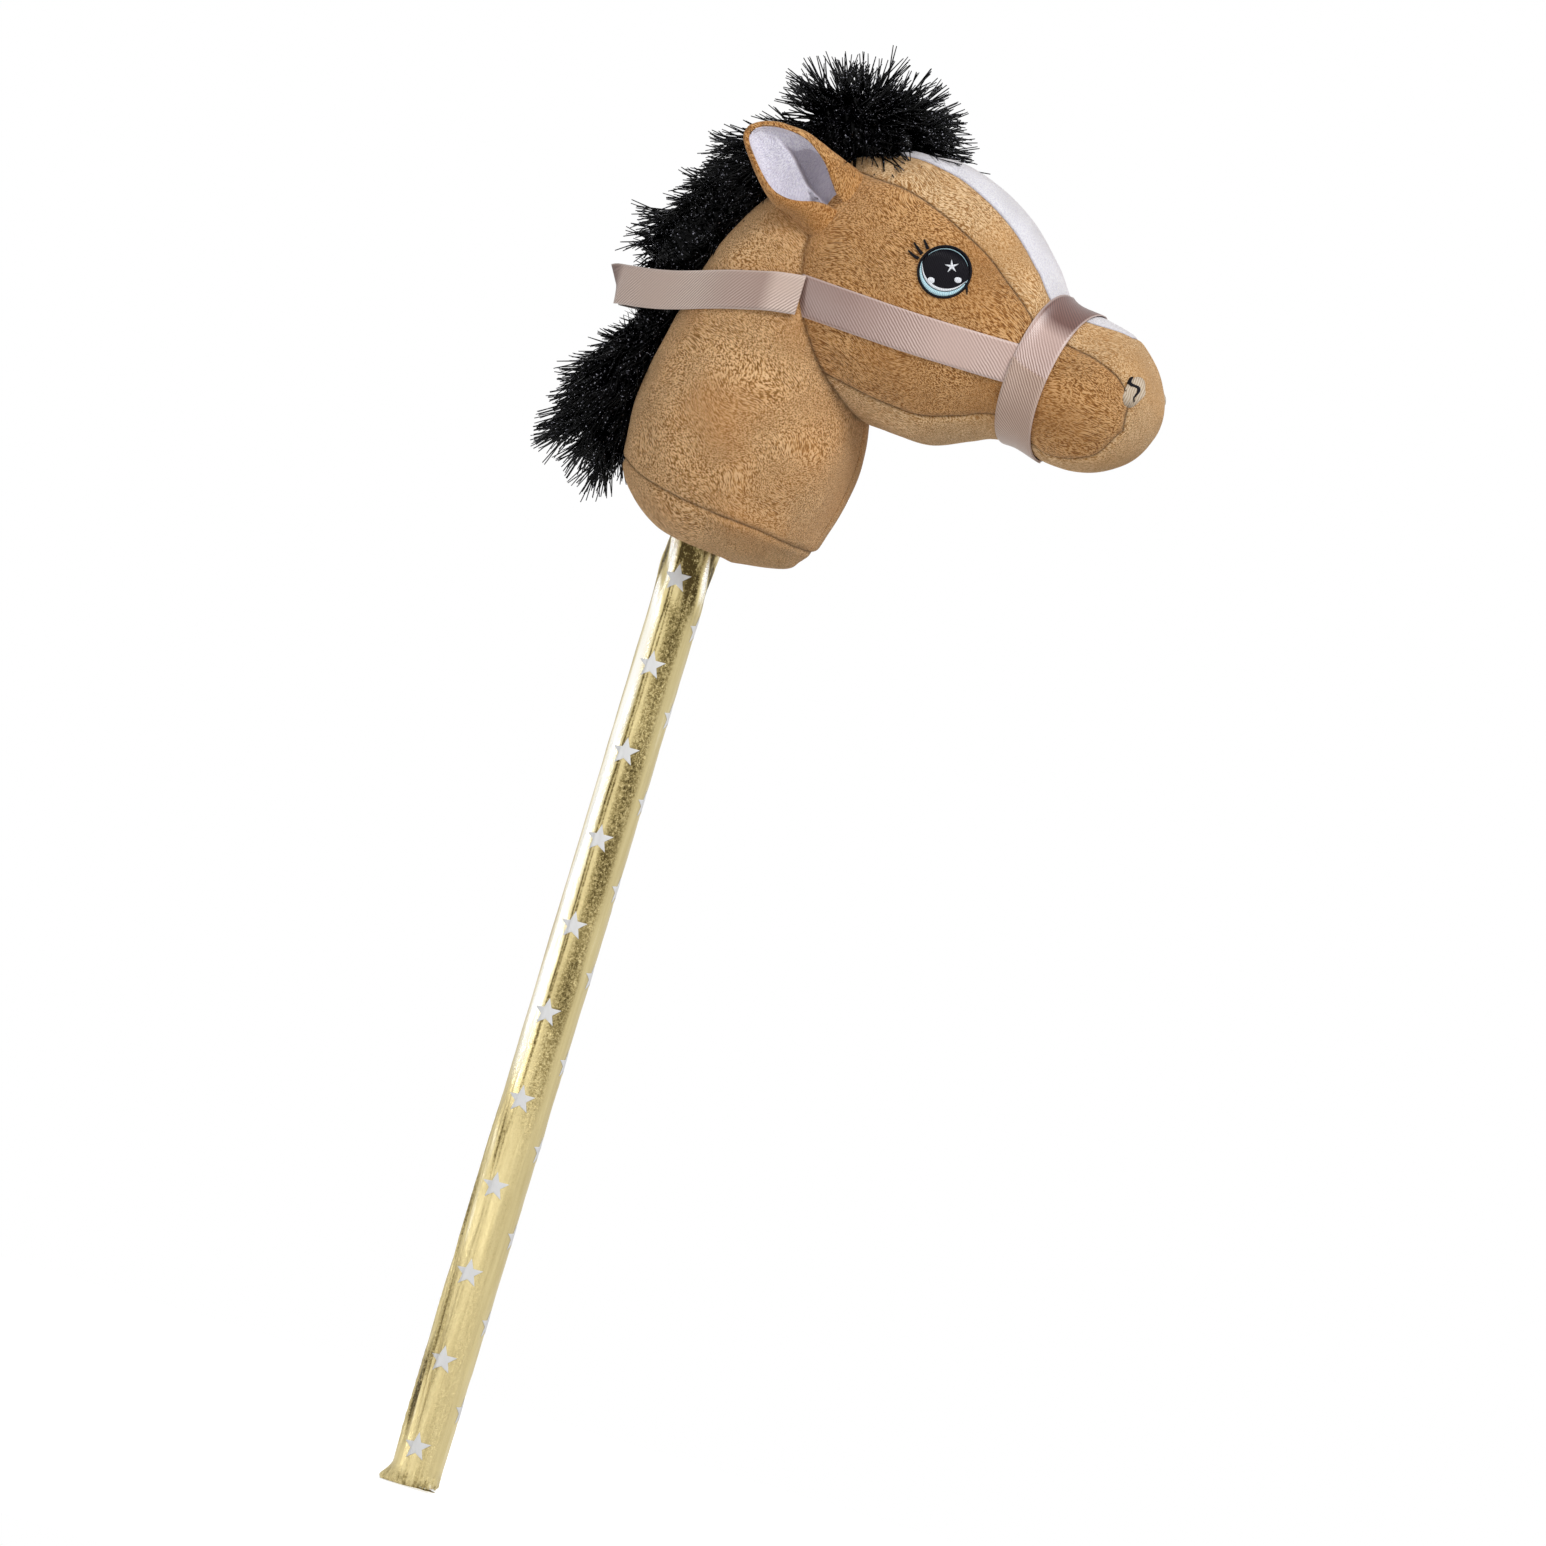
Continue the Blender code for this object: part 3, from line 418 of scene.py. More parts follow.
# %% Velboa, brushed and sheared
def velboa(name, dark, mid, light, drift, thread, lie=(0.0, 0.0, 0.0)):
    """Short polyester pile: matt, grainy and pale at grazing angles. Thread is the colour in a seam, and also the
    painted shade where the ear's lining is marked, and lie turns the direction that the pile is brushed in."""
    material, add = new_finish(name)
    place = add("ShaderNodeTexCoord").outputs["Object"]
    # slow change over about 45 mm, in the colour and in the way the pile is brushed
    slow = add("ShaderNodeTexNoise", {"Vector": place, "Scale": 22.0, "Detail": 1.0})
    bent = add("ShaderNodeVectorMath",
               {0: slow.outputs["Color"], 1: (0.035, 0.035, 0.035), 2: place}, operation="MULTIPLY_ADD")
    brushed = add("ShaderNodeMapping",
                  {"Vector": bent, "Rotation": lie, "Scale": (1, 1, 4.4)}, vector_type="TEXTURE")
    # strokes about 0.5 mm wide and 2 mm long, coarser than the real pile so that they show in the picture
    tuft = add("ShaderNodeTexNoise", {"Vector": brushed, "Scale": 1900.0, "Detail": 2.0, "Roughness": 0.6})
    # patches of 10 mm where the pile lies another way
    patch = add("ShaderNodeTexNoise",
                {"Vector": place, "Scale": 100.0, "Detail": 2.0, "Roughness": 0.5, "Distortion": 0.5})
    mixed = add("ShaderNodeMath", {0: patch, 1: 0.08, 2: -0.04}, operation="MULTIPLY_ADD")
    height = add("ShaderNodeMath", {0: tuft, 1: mixed}, operation="ADD")
    tone = add("ShaderNodeValToRGB", {"Fac": height}, stops=[(0.41, dark), (0.49, mid), (0.57, light)])
    shift = add("ShaderNodeMapRange", {"Value": slow, "From Min": 0.4, "From Max": 0.7, "To Max": 0.45})
    drifted = add("ShaderNodeMix", {0: shift, 6: tone, 7: colour(drift)}, data_type="RGBA")
    # the pile parts and shades itself along a seam, and the same attribute paints shade into the ear lining's
    # valley and along its sewn edge
    seam = add("ShaderNodeAttribute", attribute_name="seam")
    seam_and_shade_share = add("ShaderNodeMath", {0: seam.outputs["Fac"], 1: 0.6}, operation="MULTIPLY")
    shaded = add("ShaderNodeMix", {0: seam_and_shade_share, 6: drifted, 7: colour(thread)}, data_type="RGBA")
    fine = add("ShaderNodeBump", {"Height": height, "Strength": 1.0, "Distance": 1.0 * MM})
    rough = add("ShaderNodeMapRange", {"Value": tuft, "To Min": 0.8, "To Max": 1.0})
    shader = add("ShaderNodeBsdfPrincipled",
                 {"Base Color": shaded, "Roughness": rough, "Normal": fine, "IOR": 1.5,
                  "Specular IOR Level": 0.15, "Sheen Weight": 0.35, "Sheen Roughness": 0.45,
                  "Sheen Tint": colour("FFE6C4")})
    add("ShaderNodeOutputMaterial", {"Surface": shader})
    return material


# the four tan finishes are copies of one cloth, each with its own direction of pile, painted lighter or darker for
# the light that falls on each part: lightest on the gusset over the top of the head, then the neck, darkest on the
# face and the ears
tan_face = velboa("velboa_tan_face", "7B4D25", "BA854B", "E0B17C", "B27A42", "5E3C1C", (0.0, 1.9, 0.0))
tan_neck = velboa("velboa_tan_neck", "835B31", "C6955E", "E8C091", "C28850", "5E4020", (0.0, 2.06, 0.0))
tan_gusset = velboa("velboa_tan_gusset", "9A6C3D", "D1A26C", "F4D2A5", "C8945A", "70502E", (0.0, 1.75, 0.0))
tan_ear = velboa("velboa_tan_ear", "7C4D22", "BB8246", "E0B077", "B4773C", "5E3C1C", (0.0, -0.9, 0.0))
white_velboa = velboa("velboa_white", "E2E0EC", "F3F2F9", "FCFCFF", "ECEAF4", "A49CB0")
# the lining's seam colour is also the painted shade in its valley and the painted shadow along its sewn edge
lilac_lining = velboa("velboa_lilac_white", "D5D1E4", "E6E3F1", "F1EFF9", "DCD8E8", "8B7E92")
print("plush finishes:", tan_face.name, tan_neck.name, tan_gusset.name, tan_ear.name, white_velboa.name)

# %% [markdown]
# ### Where the seams run
# The head is sewn from two face panels and one long gusset that goes over the forehead, round the nose and back
# along the jaw. Tables give the height of the two face seams along the head, as a share of the half depth there,
# and the half width of the white blaze. The same tables place the panels, so every seam has one line that both
# its panels end on.

# %% Draw the seams and the blaze
UPPER_SEAM = [(1, 0.97), (3, 0.90), (3.8, 0.81), (4.3, 0.74), (5, 0.68), (6.2, 0.575), (6.8, 0.54), (7.4, 0.50),
              (8.2, 0.50), (9.8, 0.51), (10.4, 0.51), (11, 0.47), (11.5, 0.42), (12.2, 0.25), (14, 0.25)]
LOWER_SEAM = [(1, -0.72), (3, -0.75), (4.1, -0.79), (4.9, -0.82), (7.1, -0.83), (7.8, -0.80), (8.5, -0.77),
              (9.2, -0.84), (9.8, -0.90), (10.2, -0.91), (11, -0.86), (11.5, -0.80), (12.2, -0.50), (14, -0.50)]
BLAZE_EDGE = [(3.6, 18), (4.6, 24), (5.4, 27), (6.2, 28), (7, 27), (8, 24.5), (8.7, 23), (9.4, 21), (10, 18.5),
              (10.5, 15), (10.9, 10), (11.1, 6)]
BLAZE_START, BLAZE_END = 3.6, 11.1
NOSE_SEAM = 12.2
ROWS_UNDER_BLAZE = 18
BASE_SEAM = [(-1, 4.35), (-0.87, 4.3), (-0.7, 4.0), (-0.5, 3.78), (0, 3.42), (0.5, 3.2), (0.7, 3.05), (0.87, 2.9),
             (1, 2.82)]
FACE_ROWS = (evenly(1.0, 3.5, 22) + evenly(BLAZE_START, BLAZE_END, 122)
             + evenly(11.15, NOSE_SEAM, ROWS_UNDER_BLAZE))
NOSE_ROWS = evenly(NOSE_SEAM, head.last - 0.02, 26)
NECK_TOP = neck.last - 0.4  # the neck panels end there, inside the head
EYE_PLACE = (74, -39)


def seam_angles(place):
    """The angles of the lower and the upper seam at a place along the head."""
    low = head.angle_at(place, smooth_value(LOWER_SEAM, place))
    top = head.angle_at(place, smooth_value(UPPER_SEAM, place))
    return low, top


def blaze_angle(place):
    """The angle of the blaze's edge at a place along the head."""
    return head.angle_at_width(place, smooth_value(BLAZE_EDGE, place) * MM)


def base_seam(angle):
    """The place of the seam round the neck's underside, which dips towards the throat and wanders a little."""
    around = Vector((abs(math.cos(angle)) * 7, math.sin(angle) * 7, 0))
    return smooth_value(BASE_SEAM, math.sin(angle)) + 0.05 * noise.noise(around)


def mirrored(points):
    """The same points on the left side of the horse."""
    return [Vector((point.x, -point.y, point.z)) for point in points]


seam_points = [head.point(place, angle) for place in FACE_ROWS for angle in seam_angles(place)]
seam_points += [head.point(NOSE_SEAM, angle) for angle in evenly(*seam_angles(NOSE_SEAM), 60)]
seam_points += mirrored(seam_points)
seam_points += [neck.point(base_seam(angle), angle) for angle in evenly(-math.pi, math.pi, 720)]
for turn in (-math.pi / 2, math.pi / 2):
    seam_points += [neck.point(place, turn) for place in evenly(base_seam(turn), NECK_TOP, 220)]
seams = points_tree(seam_points)

blaze_points = [head.point(place, blaze_angle(place)) for place in evenly(BLAZE_START, BLAZE_END, 200)]
blaze_points += mirrored(blaze_points)
for place in (BLAZE_START, BLAZE_END):
    edge = blaze_angle(place)
    blaze_points += [head.point(place, angle) for angle in evenly(edge, math.pi - edge, 40)]
blaze_line = points_tree(blaze_points)
print("seam points:", len(seam_points), "and", len(blaze_points), "round the blaze")

# %% [markdown]
# ### How stuffing shapes a panel
# Stuffing pushes a panel out everywhere but at its seams, where the thread holds it. So next to a seam the cloth
# rolls inwards over about 4 mm, with small puckers where the thread draws it together, and away from the seam
# the surface is never quite even. Each panel is a grid of points on the drawn form, and each point is moved
# along its own normal by these amounts. It is quicker and steadier than a cloth simulation, and the two panels
# of a seam always meet.

# %% Roll a panel's edges and pucker its seams
PANEL_WALL = 1.7 * MM
TUCKED_IN = 5.0 * MM  # how far a panel of one form goes on inside the other


def roll(away, width, depth):
    """How far the cloth is drawn in at a distance from a line that holds it."""
    return depth * max(0.0, 1 - away / width) ** 2


def puff(point, crossing):
    """How far the cloth stands off the drawn form at a point, and how close the point is to a seam."""
    away, beside_blaze = seams.find(point)[2], blaze_line.find(point)[2]
    rolled = max(roll(away, 4.0 * MM, 1.3 * MM), roll(beside_blaze, 3.0 * MM, 0.7 * MM))
    if crossing:
        beside_other = max(depth_in(crossing, point), 0.0)
        rolled = max(rolled, roll(beside_other, 2.0 * MM, 0.5 * MM))
        away = min(away, beside_other)
    near = min(away, beside_blaze)
    pucker = 0.6 * MM * noise.noise(point * 120) * math.exp(-near / (6.0 * MM)) * min(1.0, near / (1.2 * MM))
    lumps = 0.75 * MM * noise.noise(point * 24) + 0.3 * MM * noise.noise(point * 60 + Vector((5, 3, 1)))
    lumps *= ease(near / (12.0 * MM))
    return lumps + pucker - rolled, near


def sew_panel(name, node, grids, inside, material, crossing=None, closed=False):
    """Makes one padded panel of plush from grids of points on the drawn form. The part of it that lies deep in
    the other form, crossing, is cut away. Gives back the panel and a copy of its outer face."""
    mesh = sheet_of(grids, inside, closed)
    near_seam = mesh.verts.layers.float.new("seam")
    deep = {vert for vert in mesh.verts if crossing and depth_in(crossing, vert.co) < -TUCKED_IN}
    for vert in mesh.verts:
        stand, away = puff(vert.co, crossing)
        vert[near_seam] = math.exp(-((away / (0.7 * MM)) ** 2))
        vert.co += vert.normal * stand
    bmesh.ops.delete(mesh, geom=[face for face in mesh.faces if deep.issuperset(face.verts)], context="FACES")
    mesh.normal_update()
    skin = mesh.copy()
    panel = add_piece(name, give_wall(mesh, PANEL_WALL), material, node=node)
    print("%s: %d points" % (name, len(panel.data.vertices)))
    return panel, skin


# %% Sew the neck
def side_of(rows, side):
    """Rows of points on the horse's right (-1) or left (1) side."""
    return rows if side < 0 else [mirrored(row) for row in rows]


def above_seam(share, angle):
    """A point of the neck between the seam of its underside (0) and its top (1)."""
    start = base_seam(angle)
    return neck.point(start + (NECK_TOP - start) * share, angle)


neck_grid = [[above_seam(share, angle) for angle in closer_at_ends(-math.pi / 2, math.pi / 2, 84)]
             for share in closer_at_ends(0.0, 1.0, 100)]
skins = []
SIDES = ((-1, "right"), (1, "left"))
neck_centre, head_centre = neck.frame(7)[0], head.frame(7)[0]
for side, word in SIDES:
    inside = neck_centre + Vector((0, side * MM, 0))
    skins.append(sew_panel("neck_side_" + word, "neck_panel_" + word, [side_of(neck_grid, side)], inside, tan_neck,
                           head_tree)[1])

# %% [markdown]
# ### The neck's underside
# The underside is one oval piece that closes the bag, and the stick goes up through a hole in it. The cloth is
# drawn up a little round the stick, and the hole is cut last, with a round cutter, so its edge is clean.

# %% Sew the underside and cut its hole
def cut_hole(piece, radius, low, high):
    """Cuts a round hole about the stick's axis and makes the cut final."""
    mesh = bmesh.new()
    bmesh.ops.create_cone(mesh, cap_ends=True, segments=72, radius1=radius, radius2=radius, depth=high - low,
                          matrix=Matrix.Translation((0, 0, (low + high) / 2)))
    cutter = put_in_scene("hole", mesh)
    boolean = piece.modifiers.new("hole", "BOOLEAN")
    boolean.object, boolean.operation, boolean.solver = cutter, "DIFFERENCE", "EXACT"
    piece.data = final_mesh(piece)
    piece.data.shade_smooth()
    bpy.data.objects.remove(cutter)


base_angles = full_turn(168)
base_grid = [[neck.point(place, angle) for angle in base_angles] for place in evenly(0.04, 1.0, 16)]
for share in closer_at_ends(0.0, 1.0, 44):
    base_grid.append([neck.point(1.05 + (base_seam(angle) - 1.05) * share, angle) for angle in base_angles])
for row in base_grid:
    for point in row:
        off_axis = math.hypot(point.x, point.y)
        point.z += 2.2 * MM * (1 - ease((off_axis - 13 * MM) / (9 * MM)))
base_grid[0] = [sum(base_grid[0], Vector()) / len(base_grid[0])] * len(base_grid[0])
base_panel, base_skin = sew_panel("neck_underside", "neck_base_panel", [base_grid], neck_centre, tan_neck,
                                  closed=True)
cut_hole(base_panel, radius=14.0 * MM, low=0.49, high=0.53)
base_skin.free()
print("hole cut:", len(base_panel.data.vertices), "points")

# %% [markdown]
# ### The head
# The face panels lie between the two seams. The gusset is made of grids that are welded where they meet: over the
# top behind the blaze, before it and on both its sides, along the jaw, and all round the nose. Its faces under the
# blaze are left out, and the blaze fills that opening, so the two plushes meet edge to edge as they do when one is
# let into the other.

# %% Sew the face panels
def head_rows(places, angles):
    """Rows of points on the head, at the angles that a function gives for each place."""
    return [[head.point(place, angle) for angle in angles(place)] for place in places]


face_grid = head_rows(FACE_ROWS, lambda place: closer_at_ends(*seam_angles(place), 72))
for side, word in SIDES:
    skins.append(sew_panel("face_side_" + word, "face_panel_" + word, [side_of(face_grid, side)], head_centre,
                           tan_face, neck_tree)[1])

# %% Sew the gusset round the head
BESIDE_BLAZE = 18


def gusset_top(place):
    """The angles across the top strip: to the blaze, over it, and down the other side."""
    top = seam_angles(place)[1]
    edge = max(blaze_angle(min(max(place, BLAZE_START), BLAZE_END)), top + 0.02)
    outer = closer_at_ends(top, edge, BESIDE_BLAZE)
    over = evenly(edge, math.pi - edge, 30)[1:-1]
    return outer + over + [math.pi - angle for angle in reversed(outer)]


def gusset_low(place):
    """The angles across the jaw, from one lower seam to the other."""
    low = seam_angles(place)[0]
    return closer_at_ends(-math.pi - low, low, 40)


def nose_ring(place):
    """The angles all the way round the nose, which has no seam of its own."""
    low, top = seam_angles(place)
    ring = gusset_top(place) + closer_at_ends(math.pi - top, math.pi - low, 72)[1:]
    for part in (gusset_low(place), closer_at_ends(low, top, 72)):
        ring += [angle + 2 * math.pi for angle in part][1:]
    return ring


top_grid, nose_grid = head_rows(FACE_ROWS, gusset_top), head_rows(NOSE_ROWS, nose_ring)
nose_grid[-1] = [head.point(head.last, 0.0)] * len(nose_grid[-1])
first = FACE_ROWS.index(BLAZE_START)
gusset_grids = [top_grid[:first + 1], top_grid[-ROWS_UNDER_BLAZE - 1:], head_rows(FACE_ROWS, gusset_low), nose_grid]
for columns in (slice(0, BESIDE_BLAZE), slice(-BESIDE_BLAZE, None)):
    gusset_grids.append([row[columns] for row in top_grid[first:-ROWS_UNDER_BLAZE]])
skins.append(sew_panel("head_gusset", "centre_gusset", gusset_grids, head_centre, tan_gusset,
                       neck_tree)[1])

# %% Let in the blaze
blaze_grid = [row[BESIDE_BLAZE - 1:1 - BESIDE_BLAZE] for row in top_grid[first:-ROWS_UNDER_BLAZE]]
skins.append(sew_panel("blaze_stripe", "blaze", [blaze_grid], head_centre, white_velboa,
                       neck_tree)[1])

# %% [markdown]
# ### One skin to sew on
# The eyes, the nostrils and the ribbons lie on the plush, so they are dropped onto it. All panels together make
# one search tree, and a ray from the side finds the spot on the cloth for any point of the side view.

# %% Join the panels into one skin
def joined_skin(parts):
    """One search tree over all the panels, as they really are, with their seams and lumps."""
    whole = bmesh.new()
    for part in parts:
        data = bpy.data.meshes.new("part")
        part.to_mesh(data)
        whole.from_mesh(data)
        bpy.data.meshes.remove(data)
    tree = BVHTree.FromBMesh(whole)
    whole.free()
    return tree


whole_skin = joined_skin(skins)
face_skin = joined_skin(skins[2:])
for part in skins:
    part.free()


def drop_on(x, z, lift=0.0, side=-1, onto=None):
    """The spot on the cloth at x, z in the side view, lifted off it by a distance. The ray starts well outside."""
    hit, normal = (onto or face_skin).ray_cast(Vector((x, side * 0.2, z)), Vector((0, -side, 0)))[:2]
    return hit + normal * lift


eye_middle = head.at(*EYE_PLACE)
eye_spot = drop_on(eye_middle.x, eye_middle.z)
print("the right eye sits at", [round(value / MM, 1) for value in eye_spot], "mm")

# %% [markdown]
# ### The stuffing
# Under the plush is polyester fibre filling. It doesn't show, but a toy that is taken apart has it, so it keeps
# its two forms, a little inside the panels. It is white and matt, with crimped strands a few millimetres apart.
# Such a plain material needs no drawn pattern: one noise clouds its colour, and the same or a finer one makes the
# grain of its surface. The print, the wood and the plastic further down are made the same way.

# %% Fill the neck and the head
def plain_finish(name, stops, clouds, grain, bump, rough, shine, stretch=None):
    """A material with one noise, or two where the grain has its own. Bump is the grain's strength and its height
    in mm, rough the roughness in its hollows and on its tops, and stretch less than 1 along the grain of wood."""
    material, add = new_finish(name)
    place = add("ShaderNodeTexCoord").outputs["Object"]
    if stretch:
        place = add("ShaderNodeMapping", {"Vector": place, "Scale": stretch})
    cloudy = add("ShaderNodeTexNoise", {"Vector": place, **clouds})
    grainy = add("ShaderNodeTexNoise", {"Vector": place, **grain}) if grain else cloudy
    tone = add("ShaderNodeValToRGB", {"Fac": cloudy}, stops=stops)
    lift = add("ShaderNodeBump", {"Height": grainy, "Strength": bump[0], "Distance": bump[1] * MM})
    spread = add("ShaderNodeMapRange", {"Value": grainy, "To Min": rough[0], "To Max": rough[1]})
    shader = add("ShaderNodeBsdfPrincipled", {"Base Color": tone, "Roughness": spread, "Normal": lift, **shine})
    add("ShaderNodeOutputMaterial", {"Surface": shader})
    return material


filling = plain_finish("polyester_fibre_filling", [(0.3, "D8D6D0"), (0.7, "F2F1EC")],
                       {"Scale": 420.0, "Detail": 4.0, "Roughness": 0.7, "Distortion": 2.5}, None, (0.6, 1.5),
                       (1.0, 1.0), {"Specular IOR Level": 0.2, "Sheen Weight": 0.3})
for name, node, loft in (("neck_stuffing", "neck_filling", neck), ("head_stuffing", "head_filling", head)):
    stuffed = add_piece(name, whole_loft(loft, 40, 40, -4.2 * MM), filling, node=node)
    print(name, "has", len(stuffed.data.polygons), "faces")

# %% [markdown]
# ## The ears
# An ear is two layers, sewn round the edge and turned: tan outside and white inside. It is folded into a cup at
# its root and sewn into the head. The cup is drawn as sections along the ear, each an arc that is wide open near
# the root and closes towards the tip. The white lining is a little too wide for the cup, so it stands up in a soft
# fold along the middle, which throws a shadow. The valley beside the fold and the lining's sewn edge are also
# painted a darker mauve grey, as painted shade, to give the ear its depth.
# A subdivision surface would round the rim, but a rim drawn with its own curve keeps the sewn edge even.

# %% Draw the ear's cup
EarSection = namedtuple("EarSection", "share shift half_width depth spread")
EAR_SECTIONS = [
    EarSection(-0.30, 0.0, 17.5, 6.0, 174),
    EarSection(0.0, 0.0, 19.0, 7.0, 172),
    EarSection(0.16, 1.0, 17.8, 8.0, 158),
    EarSection(0.30, 1.0, 18.0, 9.0, 138),
    EarSection(0.42, 1.0, 18.2, 9.5, 126),
    EarSection(0.55, 2.0, 17.0, 9.0, 114),
    EarSection(0.68, 3.0, 14.4, 7.6, 108),
    EarSection(0.80, 3.8, 11.2, 6.0, 104),
    EarSection(0.89, 3.9, 8.1, 4.6, 100),
    EarSection(0.95, 3.7, 5.4, 3.2, 97),
    EarSection(0.985, 3.5, 2.9, 1.8, 94),
    EarSection(1.0, 3.4, 0.6, 0.5, 92),
]
EAR_LENGTH = 58 * MM
ear_front, ear_rear, ear_tip = head.at(13, -1, -36), head.at(-5, -40, -45), head.at(-52, 2, -70)
ear_root = (ear_front + ear_rear) / 2
ear_along = (ear_tip - ear_root).normalized()
ear_open = (ear_front - ear_rear).cross(ear_along).normalized()
if ear_open.y > 0:
    ear_open = -ear_open
ear_across = ear_along.cross(ear_open).normalized()
if ear_across.z < 0:
    ear_across = -ear_across


def ear_value(field, share):
    """Reads one measure of the ear's sections at a share of its length."""
    return smooth_value([(row.share, getattr(row, field)) for row in EAR_SECTIONS], share)


def ear_point(share, across):
    """The cup's inner surface: share runs from the root to the tip, across from -1 at the rear rim to 1."""
    spread = math.radians(ear_value("spread", share))
    centre = ear_root + ear_along * (share * EAR_LENGTH) + ear_across * (ear_value("shift", share) * MM)
    turn = spread * across
    return (centre + ear_across * (ear_value("half_width", share) * MM * math.sin(turn))
            - ear_open * (ear_value("depth", share) * MM * math.cos(turn)))


print("the ear opens towards", [round(value, 2) for value in ear_open])

# %% Fold the two layers of an ear
EAR_SHARES = evenly(-0.22, 0.80, 46) + [0.80 + 0.198 * math.sin(step * math.pi / 48) for step in range(1, 25)]


def ear_sheet(shares, acrosses, lift, seam=None):
    """The cup's grid with each point lifted off it, towards the inside of the cup for more than 0."""
    cup = ear_root + ear_along * (EAR_LENGTH / 2) + ear_open * 0.042
    grid = [[ear_point(share, across) for across in acrosses] for share in shares]
    mesh = sheet_of([grid], cup)
    marks = [(share, across) for share in shares for across in acrosses]
    lifts = [(vert, lift(*mark)) for vert, mark in zip(list(mesh.verts), marks)]
    normals = [vert.normal.copy() for vert in mesh.verts]
    for (vert, distance), normal in zip(lifts, normals):
        vert.co -= normal * distance
    if seam:
        shade = mesh.verts.layers.float.new("seam")
        for vert, mark in zip(mesh.verts, marks):
            vert[shade] = seam(*mark)
    return mesh


# %% Shape the shell and the lining
def shell_lift(share, across):
    """The plush stands off the cup by the thickness of two layers, and rounds off to nothing at the rim."""
    wall = 2.3 * MM * (1 - abs(across) ** 9) ** 0.5
    return -wall - 0.35 * MM * noise.noise(Vector((share * 6, across * 4, 2)))


def rim_lift(share, across):
    """The shell's inner face rises to a rolled rim beside the lining."""
    return 0.9 * MM * (1 - abs(across) ** 12) ** 0.5 if abs(across) > 0.88 else 0.15 * MM


# the valley beside the lining's fold: a share of the ear's length, and the valley's two sides there
VALLEY = [(-0.2, -0.20, 0.40), (-0.1, -0.18, 0.36), (0.08, -0.14, 0.34), (0.25, -0.08, 0.44), (0.38, 0.02, 0.47),
          (0.47, 0.09, 0.44), (0.53, 0.13, 0.29), (0.65, 0.20, 0.27), (0.78, 0.28, 0.29)]


def valley_at(share):
    """The two sides of the valley at a share of the ear's length."""
    return [smooth_value([(row[0], row[side]) for row in VALLEY], share) for side in (1, 2)]


def lining_lift(share, across):
    """The lining lies in the cup and stands up in a fold before it drops into the cup's valley."""
    crest = valley_at(share)[0]
    fold = 5.0 * MM * ease((share + 0.05) / 0.2) * ease((0.84 - share) / 0.3)
    rise = ease((across - crest + 0.85) / 0.85) if across < crest else 1 - ease((across - crest) / 0.09)
    edge = 0.5 * MM - 0.7 * MM * abs(across / 0.93) ** 14
    if across > crest:
        edge += 7.0 * MM * (1 - ease(share / 0.30)) * (1 - abs(across / 0.93) ** 8)
    return edge + fold * rise + 0.35 * MM * noise.noise(Vector((share * 9, across * 5, 8)))


def painted_valley_shade(share, across):
    """How much painted shade a point of the lining gets: up to 0.8 deep in the valley beside the fold, and 0.7 as a
    painted shadow along its sewn edge.
    """
    crest, far = valley_at(share)
    soft = 0.03
    depth = ease((across - crest) / soft) * ease((far - across) / soft) * ease((0.80 - share) / 0.06)
    return max(depth * 0.8, math.exp(-(((0.93 - abs(across)) / 0.022) ** 2)) * 0.7)


# %% Sew the two ears
def mirror(mesh):
    """Turns a mesh of the right side into the same on the left."""
    for vert in mesh.verts:
        vert.co.y = -vert.co.y
    bmesh.ops.reverse_faces(mesh, faces=mesh.faces)
    mesh.normal_update()


def ear_shell():
    """The tan shell: over the back of the cup, round the rim and a little back into the cup."""
    acrosses = closer_at_ends(-1.0, 1.0, 64)
    count = len(acrosses)
    back, front = [ear_sheet(EAR_SHARES, acrosses, lift) for lift in (shell_lift, rim_lift)]
    over, inner = [[vert.co.copy() for vert in face.verts] for face in (back, front)]
    back.free()
    front.free()
    mesh = bmesh.new()
    rings = []
    for start in range(0, len(EAR_SHARES) * count, count):
        loop = over[start:start + count] + inner[start:start + count][::-1]
        rings.append([mesh.verts.new(point) for point in loop])
    join_rings(mesh, rings)
    for ring in (rings[0], rings[-1]):
        for side in range(count - 1):
            mesh.faces.new((ring[side], ring[side + 1], ring[-2 - side], ring[-1 - side]))
    bmesh.ops.remove_doubles(mesh, verts=mesh.verts, dist=0.03 * MM)
    bmesh.ops.dissolve_degenerate(mesh, edges=mesh.edges, dist=0.005 * MM)
    bmesh.ops.recalc_face_normals(mesh, faces=mesh.faces)
    return mesh


lining_shares = [share for share in EAR_SHARES if -0.21 < share < 0.985]
for side, word in SIDES:
    shell = ear_shell()
    lining = ear_sheet(lining_shares, evenly(-0.93, 0.93, 110), lining_lift, painted_valley_shade)
    if side > 0:
        mirror(shell)
        mirror(lining)
    outer = add_piece("ear_%s_shell" % word, shell, tan_ear, "ear_" + word, "ear_%s_outer" % word)
    give_wall(lining, 0.9 * MM)
    bmesh.ops.recalc_face_normals(lining, faces=lining.faces)
    inner = add_piece("ear_%s_white" % word, lining, lilac_lining, "ear_" + word,
                      "ear_%s_lining" % word)
    print("ear", word, len(outer.data.vertices), "and", len(inner.data.vertices), "points")

